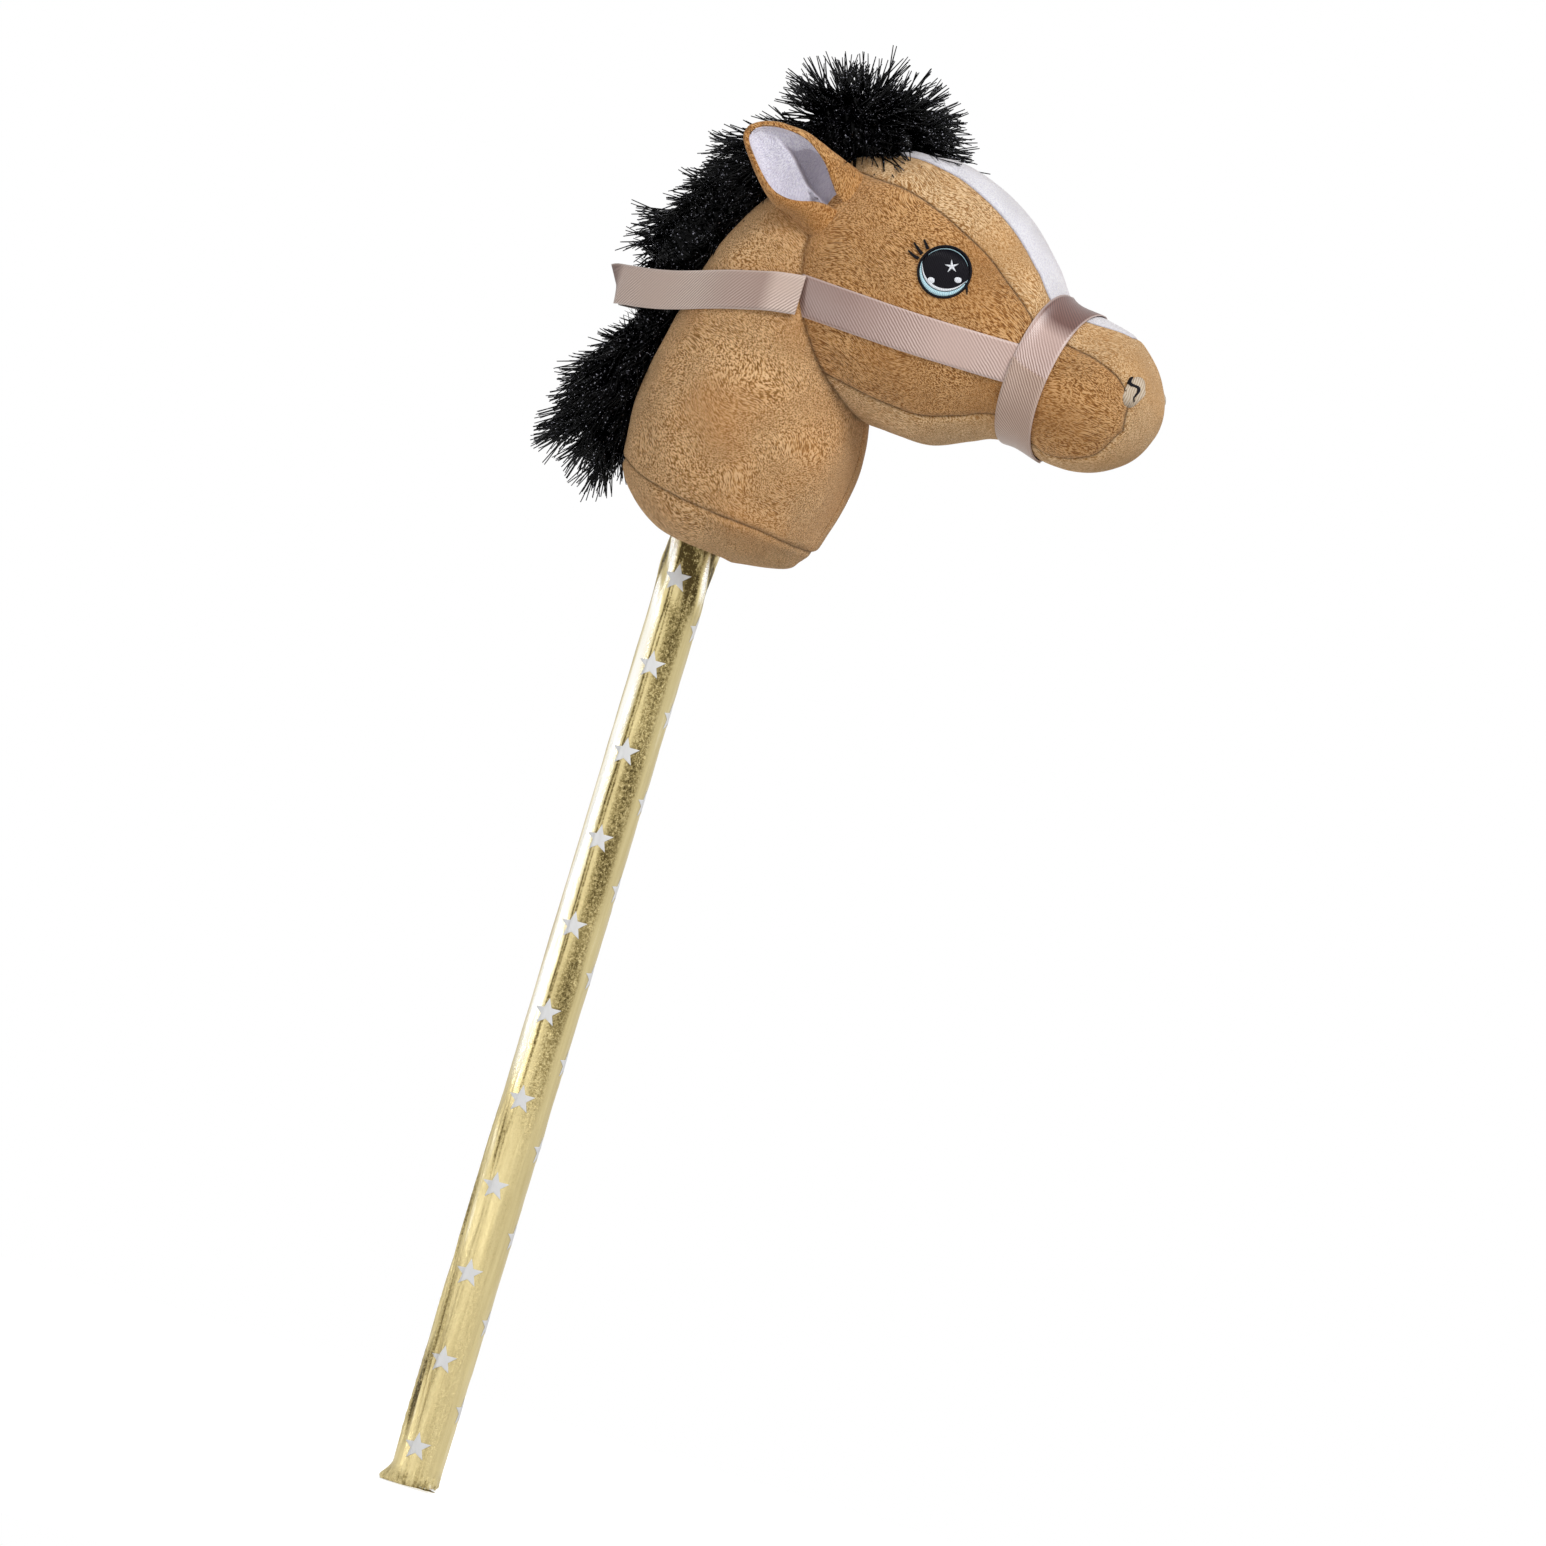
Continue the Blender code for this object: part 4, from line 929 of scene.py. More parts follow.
# %% [markdown]
# ## The embroidered eyes and nostrils
# The eyes are machine embroidery: satin stitch, where threads lie side by side across a narrow shape, and rows
# of fill stitch on wide shapes. Rayon thread is glossy, and the stitches stand about 0.8 mm off the plush, or up
# to 2 mm on the nostrils.
# A picture could be painted on the cloth, but then the eye would be flat when light comes from the side. So each
# stitched shape is a thin raised patch of its own, drawn in millimetres round the middle of the eye and dropped
# onto the plush. Its own map runs across the stitches, so the thread lines follow each shape.

# %% Rayon thread
def rayon_thread(name, dark, light, gloss=0.38, shine=0.3):
    """Glossy embroidery thread, laid side by side: fine lines across each stitched shape."""
    material, add = new_finish(name)
    lie = add("ShaderNodeUVMap", uv_map="stitches")
    # threads 0.4 mm apart are too fine to show, so they are drawn 0.9 mm apart
    rows = add("ShaderNodeTexWave",
               {"Vector": lie, "Scale": 0.349, "Distortion": 0.6, "Detail": 1.0, "Detail Scale": 2.0},
               bands_direction="X", wave_profile="SIN")
    tone = add("ShaderNodeValToRGB", {"Fac": rows.outputs["Fac"]}, stops=[(0.0, dark), (0.7, light)])
    lift = add("ShaderNodeBump", {"Height": rows.outputs["Fac"], "Strength": 0.8, "Distance": 0.3 * MM})
    rough = add("ShaderNodeMapRange", {"Value": rows.outputs["Fac"], "To Min": gloss + 0.2, "To Max": gloss})
    shader = add("ShaderNodeBsdfPrincipled",
                 {"Base Color": tone, "Roughness": rough, "Normal": lift, "IOR": 1.47,
                  "Specular IOR Level": shine})
    add("ShaderNodeOutputMaterial", {"Surface": shader})
    return material


black_thread = rayon_thread("rayon_thread_black", "08070C", "15131A", 0.34, 0.12)
blue_thread = rayon_thread("rayon_thread_pale_blue", "A3D3E3", "CFEDF5")
white_thread = rayon_thread("rayon_thread_white", "DDE3EC", "FAFBFF")
grey_thread = rayon_thread("rayon_thread_stone_grey", "B09A80", "D3C3AF", 0.6, 0.15)
print("threads:", black_thread.name, blue_thread.name, white_thread.name, grey_thread.name)

# %% [markdown]
# ### Patches of stitching
# A patch is a ladder of rungs: pairs of points on its two edges, in millimetres round a middle point. Stitches
# run along the rungs. Between the edges the patch swells like a flat loaf, because the threads heap up over the
# middle.

# %% Lay stitches between two edges
def stitch_patch(mesh, middle, rungs, height, across=5, closed=False):
    """Adds a raised ladder of stitches to a mesh. Rungs are pairs of (x, z) in mm round the middle."""
    threads = mesh.loops.layers.uv.get("stitches") or mesh.loops.layers.uv.new("stitches")
    rows, travelled, last_mid = [], 0.0, None
    for start, end in rungs:
        start, end = Vector((*start, 0)), Vector((*end, 0))
        mid = (start + end) / 2
        travelled += (mid - last_mid).length if last_mid else 0.0
        last_mid = mid
        row = []
        for share in evenly(0.0, 1.0, across):
            flat = start.lerp(end, share)
            spot = (middle.x + flat.x * MM, middle.z + flat.y * MM)
            stand = 0.12 + height * (1 - (2 * share - 1) ** 4) ** 0.5
            top, low = [mesh.verts.new(drop_on(*spot, lift * MM)) for lift in (stand, -0.5)]
            row.append((top, low, (travelled, share * (end - start).length)))
        rows.append(row)
    if closed:
        rows.append(rows[0])

    def stitch(corners, layers):
        """Adds a face whose corners lie on the top (0) or the underside (1) of the patch."""
        face = mesh.faces.new([corner[layer] for corner, layer in zip(corners, layers)])
        for loop, corner in zip(face.loops, corners):
            loop[threads].uv = corner[2]

    for row, after in zip(rows, rows[1:]):
        for column in range(across - 1):
            corners = [row[column], row[column + 1], after[column + 1], after[column]]
            stitch(corners, (0, 0, 0, 0))
            stitch(corners[::-1], (1, 1, 1, 1))
        for column in (0, across - 1):
            stitch((row[column], after[column], after[column], row[column]), (0, 0, 1, 1))
    for row in () if closed else (rows[0], rows[-1]):
        for corner, beside in zip(row, row[1:]):
            stitch((corner, beside, beside, corner), (0, 0, 1, 1))


def ring_of(centre, outer, inner, start=0.0, end=360.0, count=90):
    """Rungs across a ring or an arc, with radii that may be functions of the turn in degrees."""
    reach = [value if callable(value) else (lambda turn, value=value: value) for value in (outer, inner)]
    rungs = []
    for turn in evenly(start, end, count):
        away = Vector((math.cos(math.radians(turn)), math.sin(math.radians(turn))))
        rungs.append(tuple((centre[0] + away.x * side(turn), centre[1] + away.y * side(turn)) for side in reach))
    return rungs


def oval_of(centre, radius_x, radius_z, count=12, end=0.99):
    """Rungs that cover an oval from left to right, up to a share of its radius on both sides."""
    rungs = []
    for place in evenly(-end, end, count):
        half = radius_z * math.sqrt(1 - place * place)
        x = centre[0] + place * radius_x
        rungs.append(((x, centre[1] - half), (x, centre[1] + half)))
    return rungs


def line_of(points, widths, count=16):
    """Rungs across a line through points, with a width at each."""
    rungs = []
    vectors = [Vector((*point, 0)) for point in points]
    for place in evenly(0.0, len(points) - 1.0, count):
        spot = through(vectors, place)
        ahead = through(vectors, min(place + 0.05, len(points) - 1.0)) - through(vectors, max(place - 0.05, 0.0))
        out = Vector((-ahead.y, ahead.x, 0)).normalized() * (max(through(widths, place), 0.12) / 2)
        rungs.append(((spot.x - out.x, spot.y - out.y), (spot.x + out.x, spot.y + out.y)))
    return rungs


# %% [markdown]
# ### The eye, shape by shape
# The eye is a thin black ring, a large black pupil, a pale blue crescent round the bottom with a white one inside
# it and a hair-thin one round the top, a small white star for the highlight, two white ovals, three lashes and a
# tick at the front corner.

# %% Turn places in the photo to places on the horse
LEAN_COS, LEAN_SIN = 0.958, 0.287  # of the angle that the toy leans at in the photo
EYE_RADIUS = 14.1


def in_view(right, down, forward=0.538):
    """Turns pixels right and down of a middle into mm forward and up. Forward is how long a pixel is there."""
    return ((right * LEAN_COS + down * LEAN_SIN) * forward, (right * LEAN_SIN - down * LEAN_COS) * 0.52)


def lash(pixels, widths, height):
    """A line of stitches through points in pixels round the eye's middle."""
    return line_of([in_view(*spot) for spot in pixels], widths), height, False


def star_arm(centre, turn, reach, width):
    """Rungs across one pointed arm of a star."""
    tip = (centre[0] + reach * math.cos(turn), centre[1] + reach * math.sin(turn))
    return line_of([centre, ((centre[0] + tip[0]) / 2, (centre[1] + tip[1]) / 2), tip],
                   [width, width * 0.62, 0.15], 8)


print("an eye is %.1f mm high" % (2 * EYE_RADIUS))

# %% Draw the eye
# each shape is its rungs, how high its stitches stand in mm, and whether it closes on itself
eye_black = [
    (ring_of((0, 0), EYE_RADIUS, 12.8), 0.75, True),
    (oval_of((0, 0), 12.9, 12.9, 40, 0.999), 0.35, False),
    (oval_of(in_view(-1.2, -3.6), 10.6, 10.6, 40, 0.999), 0.5, False),
    lash([(-24.5, -13), (-29.5, -16), (-34.8, -21)], [1.9, 1.6, 0.9], 0.8),
    lash([(-21.5, -17.5), (-25.5, -23), (-29.5, -29)], [1.9, 1.6, 0.9], 0.8),
    lash([(-16, -22.5), (-18, -27.5), (-20, -32)], [1.8, 1.5, 0.9], 0.8),
    lash([(20.5, 11), (21.6, 17), (21.8, 22.5)], [1.6, 1.2, 0.5], 0.7),
]


def swell(turn, start, end):
    """How deep a crescent is at a turn in degrees: 0 at its ends and 1 in the middle."""
    return max(math.sin(math.radians((turn - start) * 180 / (end - start))), 0.0) ** 0.75


def crescent(start, end, outer, depth):
    """Rungs across a crescent along the bottom of the eye, with its depth in mm at its middle."""
    reach = outer if callable(outer) else lambda turn: outer
    return ring_of((0, 0), reach, lambda turn: reach(turn) - 0.12 - depth * swell(turn, start, end), start, end, 60)


def under_blue(turn):
    """The radius of the blue crescent's inner edge."""
    return 12.55 - 2.5 * swell(turn, 171, 357)


eye_blue = [(crescent(171, 357, 12.8, 2.4), 0.62, False), (crescent(30, 150, 12.2, 0.25), 0.62, False)]
eye_white = [(crescent(176, 352, under_blue, 1.5), 0.68, False)]
eye_white += [(oval_of(in_view(*spot), 1.9, 2.0), 0.8, False) for spot in ((-12.4, 8.7), (13.2, 8.2))]
eye_white += [(star_arm(in_view(7.0, -5.2), math.radians(90 + 72 * arm + 20), 3.6, 2.1), 0.85, False)
              for arm in range(5)]


print("eye shapes:", len(eye_black), "black,", len(eye_blue), "blue and", len(eye_white), "white")

# %% Embroider both eyes
def embroider(name, place, shapes, thread, side, node=None):
    """Stitches shapes onto the plush, on the horse's right, or mirrored on its left."""
    mesh = bmesh.new()
    for rungs, height, closed in shapes:
        stitch_patch(mesh, head.at(*place), rungs[:-1] if closed else rungs, height, 5, closed)
    if side > 0:
        for vert in mesh.verts:
            other, own = drop_on(vert.co.x, vert.co.z, 0.0, 1), drop_on(vert.co.x, vert.co.z)
            vert.co.y = other.y + (own.y - vert.co.y)
    bmesh.ops.recalc_face_normals(mesh, faces=mesh.faces)
    return add_piece(name, mesh, thread, node=node)


for side, word in SIDES:
    patch = embroider("eye_%s_black" % word, EYE_PLACE, eye_black, black_thread, side, "eye_" + word)
    embroider("eye_%s_blue" % word, EYE_PLACE, eye_blue, blue_thread, side)
    embroider("eye_%s_white" % word, EYE_PLACE, eye_white, white_thread, side)
    print("eye", word, len(patch.data.polygons), "faces of black stitching")

# %% Draw the nostrils
NOSTRIL_PLACE = (183, -70)
nostril_pad = [(oval_of((0.2, -0.6), 4.0, 8.4, 30), 1.5, False)]
fold = [in_view(*spot, 0.48) for spot in ((-2.9, -13), (-4.0, -6.6), (2.4, -3.1), (2.9, 1), (0, 6.2), (0, 11))]
nostril_line = [(line_of(fold, [1.1, 1.7, 1.7, 1.7, 1.2, 0.6], 30), 2.0, False)]
for side, word in SIDES:
    embroider("nostril_%s_pad" % word, NOSTRIL_PLACE, nostril_pad, grey_thread, side, "nostril_" + word)
    embroider("nostril_%s_line" % word, NOSTRIL_PLACE, nostril_line, black_thread, side, None)
print("nostrils stitched at", [round(value / MM) for value in head.at(*NOSTRIL_PLACE)], "mm")

# %% [markdown]
# ## The halter and the reins
# These are one ribbon, 21 mm wide: polyester satin in a dusty rose, woven so that long warp threads float over
# the face. That makes it glossy along its length, and leaves fine diagonal lines where the threads bind. Its two
# edges are woven tight, as a selvedge that doesn't fray.
# A ribbon doesn't stretch and hardly bends sideways, so it is modelled as a band along a route with one constant
# width, and not simulated. Its own map is in metres, along and across, so that the weave runs with it.

# %% Satin ribbon
def satin(name, dark, mid, light, painted_sheen_and_shade):
    """Polyester satin: glossy, with diagonal binding lines and a tight pale edge. The last argument holds the stops
    of painted sheen and shade, each a place along the ribbon in metres and a colour that multiplies its own."""
    material, add = new_finish(name)
    lie = add("ShaderNodeUVMap", uv_map="ribbon")
    turned = add("ShaderNodeMapping", {"Vector": lie, "Rotation": (0, 0, -0.80)})
    # binding lines 0.5 mm apart on the real ribbon, drawn 1.5 mm apart so that they show
    hatch = add("ShaderNodeTexWave",
                {"Vector": turned, "Scale": 209.0, "Distortion": 1.8, "Detail": 3.0, "Detail Scale": 1.2},
                bands_direction="X")
    weft = add("ShaderNodeTexWave",
               {"Vector": lie, "Scale": 330.0, "Distortion": 0.3, "Detail": 1.0}, bands_direction="X")
    # how much the binding lines show changes slowly along the ribbon
    along = add("ShaderNodeTexNoise", {"Vector": lie, "Scale": 26.0, "Detail": 2.0})
    share = add("ShaderNodeMapRange",
                {"Value": along, "From Min": 0.40, "From Max": 0.60, "To Min": 0.3, "To Max": 1.0})
    tone = add("ShaderNodeValToRGB",
               {"Fac": hatch.outputs["Fac"]}, stops=[(0.1, dark), (0.5, mid), (0.9, light)])
    worn = add("ShaderNodeMix", {0: share, 6: colour(mid), 7: tone}, data_type="RGBA")
    split = add("ShaderNodeSeparateXYZ", {"Vector": lie})
    run = add("ShaderNodeMath", {0: split.outputs["X"], 1: 0.27}, operation="DIVIDE")
    # painted highlights and painted shade along the ribbon, multiplied over its colour
    painted_light_ramp = add("ShaderNodeValToRGB", {"Fac": run}, stops=[(place / 0.27, code) for place, code in painted_sheen_and_shade])
    with_painted_light = add("ShaderNodeMix", {0: 1.0, 6: worn, 7: painted_light_ramp}, data_type="RGBA", blend_type="MULTIPLY")
    off_middle = add("ShaderNodeMath", {0: split.outputs["Y"]}, operation="ABSOLUTE")
    edge = add("ShaderNodeMapRange", {"Value": off_middle, "From Min": 9.4 * MM, "From Max": 10.2 * MM})
    edge_share = add("ShaderNodeMath", {0: edge, 1: 0.5}, operation="MULTIPLY")
    selvedge = add("ShaderNodeMix", {0: edge_share, 6: with_painted_light, 7: colour(light)}, data_type="RGBA")
    height = add("ShaderNodeMath", {0: hatch.outputs["Fac"], 1: weft.outputs["Fac"]}, operation="ADD")
    lift = add("ShaderNodeBump", {"Height": height, "Strength": 0.35, "Distance": 0.12 * MM})
    rough = add("ShaderNodeMapRange", {"Value": hatch.outputs["Fac"], "To Min": 0.30, "To Max": 0.46})
    tangent = add("ShaderNodeTangent", direction_type="UV_MAP", uv_map="ribbon")
    shader = add("ShaderNodeBsdfPrincipled",
                 {"Base Color": selvedge, "Roughness": rough, "Normal": lift, "Tangent": tangent, "IOR": 1.5,
                  "Specular IOR Level": 0.65, "Anisotropic": 0.6, "Sheen Weight": 0.15, "Sheen Roughness": 0.4})
    add("ShaderNodeOutputMaterial", {"Surface": shader})
    return material


# painted light along the rein: lightest at the sewn end, painted shade a little after it, and dark painted shade
# where the loop turns behind the mane
rein_satin = satin("satin_ribbon_rein", "A28C81", "C6AFA2", "E0CDC2",
                   [(0.0, "FFFFFF"), (0.014, "FFFDFD"), (0.021, "D4CAC8"), (0.038, "DED6D4"), (0.06, "FAF8F6"),
                    (0.121, "F4F0EE"), (0.126, "8C7A78"), (0.130, "6A5856")])
# painted shade on the cheek strap's back end, fading out towards the muzzle
strap_satin = satin("satin_ribbon_cheek", "A08378", "C2A79D", "E2CCC4", [(0.03, "CDC2C0"), (0.085, "FFFDFC")])
# painted light on the noseband: slightly darker low on the right side, and painted shade over the top of the nose
nose_satin = satin("satin_ribbon_noseband", "98796F", "C0A39A", "E6D0C8",
                   [(0.035, "E4DEDA"), (0.072, "FFFFFF"), (0.089, "FFFFFF"), (0.098, "8C706A"), (0.169, "8C706A"),
                    (0.178, "FFFFFF")])
# darker at its start under the jaw
lap_satin = satin("satin_ribbon_overlap", "917567", "AD9284", "CDB5A6", [(0.0, "ECE8DF"), (0.05, "FAF6F2")])
print("ribbons:", rein_satin.name, strap_satin.name, nose_satin.name)

# %% Weave a ribbon along rows of points
RIBBON_WIDTH = 21 * MM
RIBBON_WALL = 0.5 * MM


def across_ribbon(count):
    """Evenly spaced distances from the ribbon's middle, from edge to edge."""
    return evenly(-RIBBON_WIDTH / 2, RIBBON_WIDTH / 2, count)


def weave(name, rows, inside, material, body, node=None):
    """Makes a ribbon from rows across it, with its map in metres, and gives it its thickness."""
    mesh = bmesh.new()
    threads = mesh.loops.layers.uv.new("ribbon")
    verts = [[mesh.verts.new(point) for point in row] for row in rows]
    middle = len(rows[0]) // 2
    travelled = [0.0]
    for row, after in zip(rows, rows[1:]):
        travelled.append(travelled[-1] + (after[middle] - row[middle]).length)
    across = across_ribbon(len(rows[0]))
    for index in range(len(rows) - 1):
        for column in range(len(across) - 1):
            spots = [(index, column), (index, column + 1), (index + 1, column + 1), (index + 1, column)]
            face = mesh.faces.new([verts[row][place] for row, place in spots])
            for loop, (row, place) in zip(face.loops, spots):
                loop[threads].uv = (travelled[row], across[place])
    face_away(mesh, inside)
    ribbon = add_piece(name, mesh, material, body, node)
    wall = ribbon.modifiers.new("thickness", "SOLIDIFY")
    wall.thickness, wall.offset = RIBBON_WALL, 1.0
    ribbon.data = final_mesh(ribbon)
    print("%s: %.0f mm of ribbon" % (name, travelled[-1] / MM))
    return ribbon, travelled[-1]


# %% Lay the cheek straps
STRAP_ROUTE = [(1.2, -70.9), (34, -72.6), (66, -74), (100, -74.3), (133, -74)]
strap_points = [head.at(*place) for place in STRAP_ROUTE]


def strap_rows(side):
    """Rows across a cheek strap that lies on the plush and bridges its hollows."""
    rows = []
    for share in evenly(0.0, len(strap_points) - 1.0, 96):
        centre = through(strap_points, share)
        rows.append([drop_on(centre.x, centre.z + edge, 0.45 * MM, side)
                     for edge in across_ribbon(13)])
    for _ in range(6):
        for row, place, after in zip(rows, rows[1:], rows[2:]):
            for column, point in enumerate(place):
                point.y = side * max(abs(point.y) - 0.12 * MM, abs(row[column].y + after[column].y) / 2)
    return rows


for side, word in SIDES:
    strap, length = weave("cheek_ribbon_" + word, strap_rows(side), head_centre, strap_satin, "horse",
                          "cheek_strap_" + word)

# %% Wrap the noseband
noseband_top, noseband_bottom = head.at(140, -34), head.at(129, -114)
band_up = (noseband_top - noseband_bottom).normalized()
band_ahead = Vector((band_up.z, 0, -band_up.x))
band_middle = (noseband_top + noseband_bottom) / 2
NOSEBAND_BOW = 4.5 * MM


def under_band(angle, edge):
    """The place where the surface at this angle passes under a line along the noseband."""
    low, high = 5.0, 12.0
    for _ in range(26):
        place = (low + high) / 2
        if (head.point(place, angle) - band_middle).dot(band_ahead) > edge - NOSEBAND_BOW * abs(math.cos(angle)):
            high = place
        else:
            low = place
    return place


def band_rows(angles, lift):
    """Rows across a band round the nose, at angles round the head, lifted off the drawn form."""
    rows = []
    for angle in angles:
        row = []
        for edge in across_ribbon(11):
            place = under_band(angle, edge)
            spot = head.point(place, angle)
            out = spot - head.frame(place)[0]
            out -= band_ahead * out.dot(band_ahead)
            row.append(spot + out.normalized() * lift)
        rows.append(row)
    return rows


noseband, length = weave("noseband_ribbon", band_rows(evenly(-math.pi / 2 - 0.12, 1.5 * math.pi, 200), 0.9 * MM),
                         head_centre, nose_satin, "horse", "noseband")
overlap, length = weave("noseband_overlap", band_rows(evenly(-math.pi / 2 - 0.1, -0.02, 60), 1.55 * MM),
                        head_centre, lap_satin, "horse")

# %% [markdown]
# ### The reins
# The reins are one loop of the same ribbon. Both its ends are sewn in where the cheek straps start, and it goes
# round behind the mane. It stands on its edge, as a ribbon does that is pulled lightly round a curve, and where it
# turns behind the mane it leans back.

# %% Loop the reins
REIN_ROUTE = [(16, -51.7, 140.5), (5, -51.4, 138), (-8, -49.4, 135), (-20, -44.4, 132), (-32, -37.0, 129),
              (-46, -28.5, 126), (-60, -19.5, 124), (-72, -11.5, 123), (-79, -4.5, 122.5), (-80.5, 0.0, 122.5)]
REIN_PIVOT = (3, -71)
pivot = head.at(*REIN_PIVOT)
rein_start = drop_on(pivot.x + 1.5 * MM, pivot.z, 2.6 * MM, onto=whole_skin)
rein_line = [rein_start] + [neck.at(x, z, y) for x, y, z in REIN_ROUTE]
rein_rows = []
last, half = len(rein_line) - 1.0, RIBBON_WIDTH / 2
for place in evenly(0.0, last, 110):
    centre = through(rein_line, place)
    ahead = through(rein_line, min(place + 0.05, last)) - through(rein_line, place - 0.05)
    # where it runs across, behind the mane, it leans back
    lean = 0.55 * ease((abs(ahead.normalized().y) - 0.7) / 0.3)
    rein_rows.append([centre + Vector((-math.sin(lean), 0, math.cos(lean))) * share * half
                      for share in evenly(-1.0, 1.0, 9)])
rein_rows += [mirrored(row) for row in reversed(rein_rows[:-1])]
reins, length = weave("rein_ribbon", rein_rows, Vector((0, 0, pivot.z)), rein_satin, "reins", "reins")

# %% [markdown]
# ## The mane and the forelock
# The mane is long-pile faux fur: glossy black polyester fibres, 15 to 35 mm long, that cling together in spiky
# tufts. It is a main part of how the toy looks, so its fibres are real shapes. There are thousands of them and
# they follow a rule, so Geometry Nodes make them: points are scattered over the fur's backing, and each gets a
# thin, slightly bent spike with three sides, which stands for a strand of finer fibres. A spike leans the way the
# fur is combed, and towards the middle of its own cell of a Voronoi pattern, so that the spikes of a cell end in
# one tuft.

# %% Black faux fur
def faux_fur():
    """Glossy black polyester pile: nearly black, with a few small pale flecks painted in as highlights where a
    fibre would catch the light.
    """
    material, add = new_finish("faux_fur_black")
    place = add("ShaderNodeTexCoord").outputs["Object"]
    shade = add("ShaderNodeTexNoise", {"Vector": place, "Scale": 800.0, "Detail": 1.0})
    # the pale flecks at the top of the ramp are painted highlights, glints drawn into the colour
    tone = add("ShaderNodeValToRGB",
               {"Fac": shade}, stops=[(0.35, "010101"), (0.62, "060607"), (0.67, "2A2A30"), (0.74, "C4C4D0")])
    rough = add("ShaderNodeMapRange",
                {"Value": shade, "From Min": 0.3, "From Max": 0.7, "To Min": 0.1, "To Max": 0.32})
    lift = add("ShaderNodeBump", {"Height": shade, "Strength": 0.3, "Distance": 0.3 * MM})
    shader = add("ShaderNodeBsdfPrincipled",
                 {"Base Color": tone, "Roughness": rough, "Normal": lift, "IOR": 1.5,
                  "Specular IOR Level": 0.08})
    add("ShaderNodeOutputMaterial", {"Surface": shader})
    return material


black_fur = faux_fur()
print("fur finish:", black_fur.name)

# %% Draw the backing of the fur
MANE_SECTIONS = [
    Section((-60, 33), (-60, 33), 0, 2.2),
    Section((-75, 40), (-44, 43), 15, 2.3),
    Section((-82, 54), (-40, 56), 20, 2.4),
    Section((-84, 71), (-40, 71), 22, 2.4),
    Section((-81, 88), (-38, 90), 21, 2.3),
    Section((-75, 104), (-34, 108), 19, 2.2),
    Section((-70, 122), (-28, 126), 19, 2.2),
    Section((-71, 142), (-22, 148), 26, 2.3),
    Section((-66, 163), (-10, 167), 28, 2.4),
    Section((-51, 190), (4, 185), 31, 2.4),
    Section((-31, 217), (12, 198), 30, 2.4),
    Section((-14, 237), (20, 206), 24, 2.3),
    Section((6, 237), (6, 237), 0, 2.2),
]
FORELOCK_SECTIONS = [
    Section((-37, 12), (-37, 12), 0, 2.2),
    Section((-32, 30), (-26, -15), 19, 2.3),
    Section((-15, 42), (-12, -16), 27, 2.4),
    Section((11, 43), (12, -10), 29, 2.4),
    Section((28, 38), (28, -5), 28, 2.3),
    Section((38, 28), (36, 3), 21, 2.2),
    Section((43, 16), (43, 16), 0, 2.2),
]
mane_form = Loft(neck.origin, MANE_SECTIONS)
forelock_form = Loft(head.origin, FORELOCK_SECTIONS)


def rein_at(swing):
    """Finds how far a point is from the reins when they are swung up by an angle in degrees."""
    turn = Matrix.Rotation(math.radians(swing), 3, "Y")
    return points_tree([turn @ (point - pivot) + pivot for row in rein_rows for point in row])


def clear_of(distance):
    """0 up to 8 mm from the reins, and 1 from 24 mm on."""
    return ease((distance - 8 * MM) / (16 * MM))


rein_tree, swung_trees = rein_at(0), [rein_at(swing) for swing in (10, 20, 30, 40)]


def fur_backing(form, rows, sides, shrink, combed):
    """The fur's dark backing, smaller than the fur, with the growth, reach and comb of the fibres on it."""
    mesh = whole_loft(form, rows, sides, -shrink)
    growth = mesh.verts.layers.float.new("growth")
    reach = mesh.verts.layers.float.new("reach")
    comb = mesh.verts.layers.float_vector.new("comb")
    for vert in mesh.verts:
        clear = min(depth_in(neck_tree, vert.co), depth_in(head_tree, vert.co))
        vert[growth] = 1.0 if clear > -1.5 * MM else 0.0
        # short beside the rein, and further up, where the fibres would hang over it
        beside = min(rein_tree.find(vert.co - Vector((0, 0, drop * MM)))[2] + 0.2 * drop * MM
                     for drop in (0, 8, 16))
        vert[reach] = 0.05 + 0.95 * clear_of(beside)
        # and combed flatter at the sides, where the reins pass when they swing
        passing = min(tree.find(vert.co)[2] for tree in swung_trees)
        sideways = ease((abs(vert.co.y) - 6 * MM) / (7 * MM))
        vert[reach] *= 1 - 0.85 * sideways * (1 - clear_of(passing))
        vert[comb] = combed(vert.co, vert.normal)
    return mesh


# %% Start a tree, and draw one fibre
def new_tree(name, numbers):
    """Starts a tree whose inputs are a mesh, named numbers and a finish. Gives back the tree, the function that
    adds a node to it, and the sockets of its inputs."""
    tree = bpy.data.node_groups.new(name, "GeometryNodeTree")
    new_socket = tree.interface.new_socket
    new_socket("Geometry", in_out="INPUT", socket_type="NodeSocketGeometry")
    for label, value in numbers.items():
        kind = "NodeSocketInt" if isinstance(value, int) else "NodeSocketFloat"
        new_socket(label, in_out="INPUT", socket_type=kind).default_value = value
    new_socket("Finish", in_out="INPUT", socket_type="NodeSocketMaterial")
    new_socket("Geometry", in_out="OUTPUT", socket_type="NodeSocketGeometry")
    add = partial(add_node, tree)
    return tree, add, add("NodeGroupInput").outputs


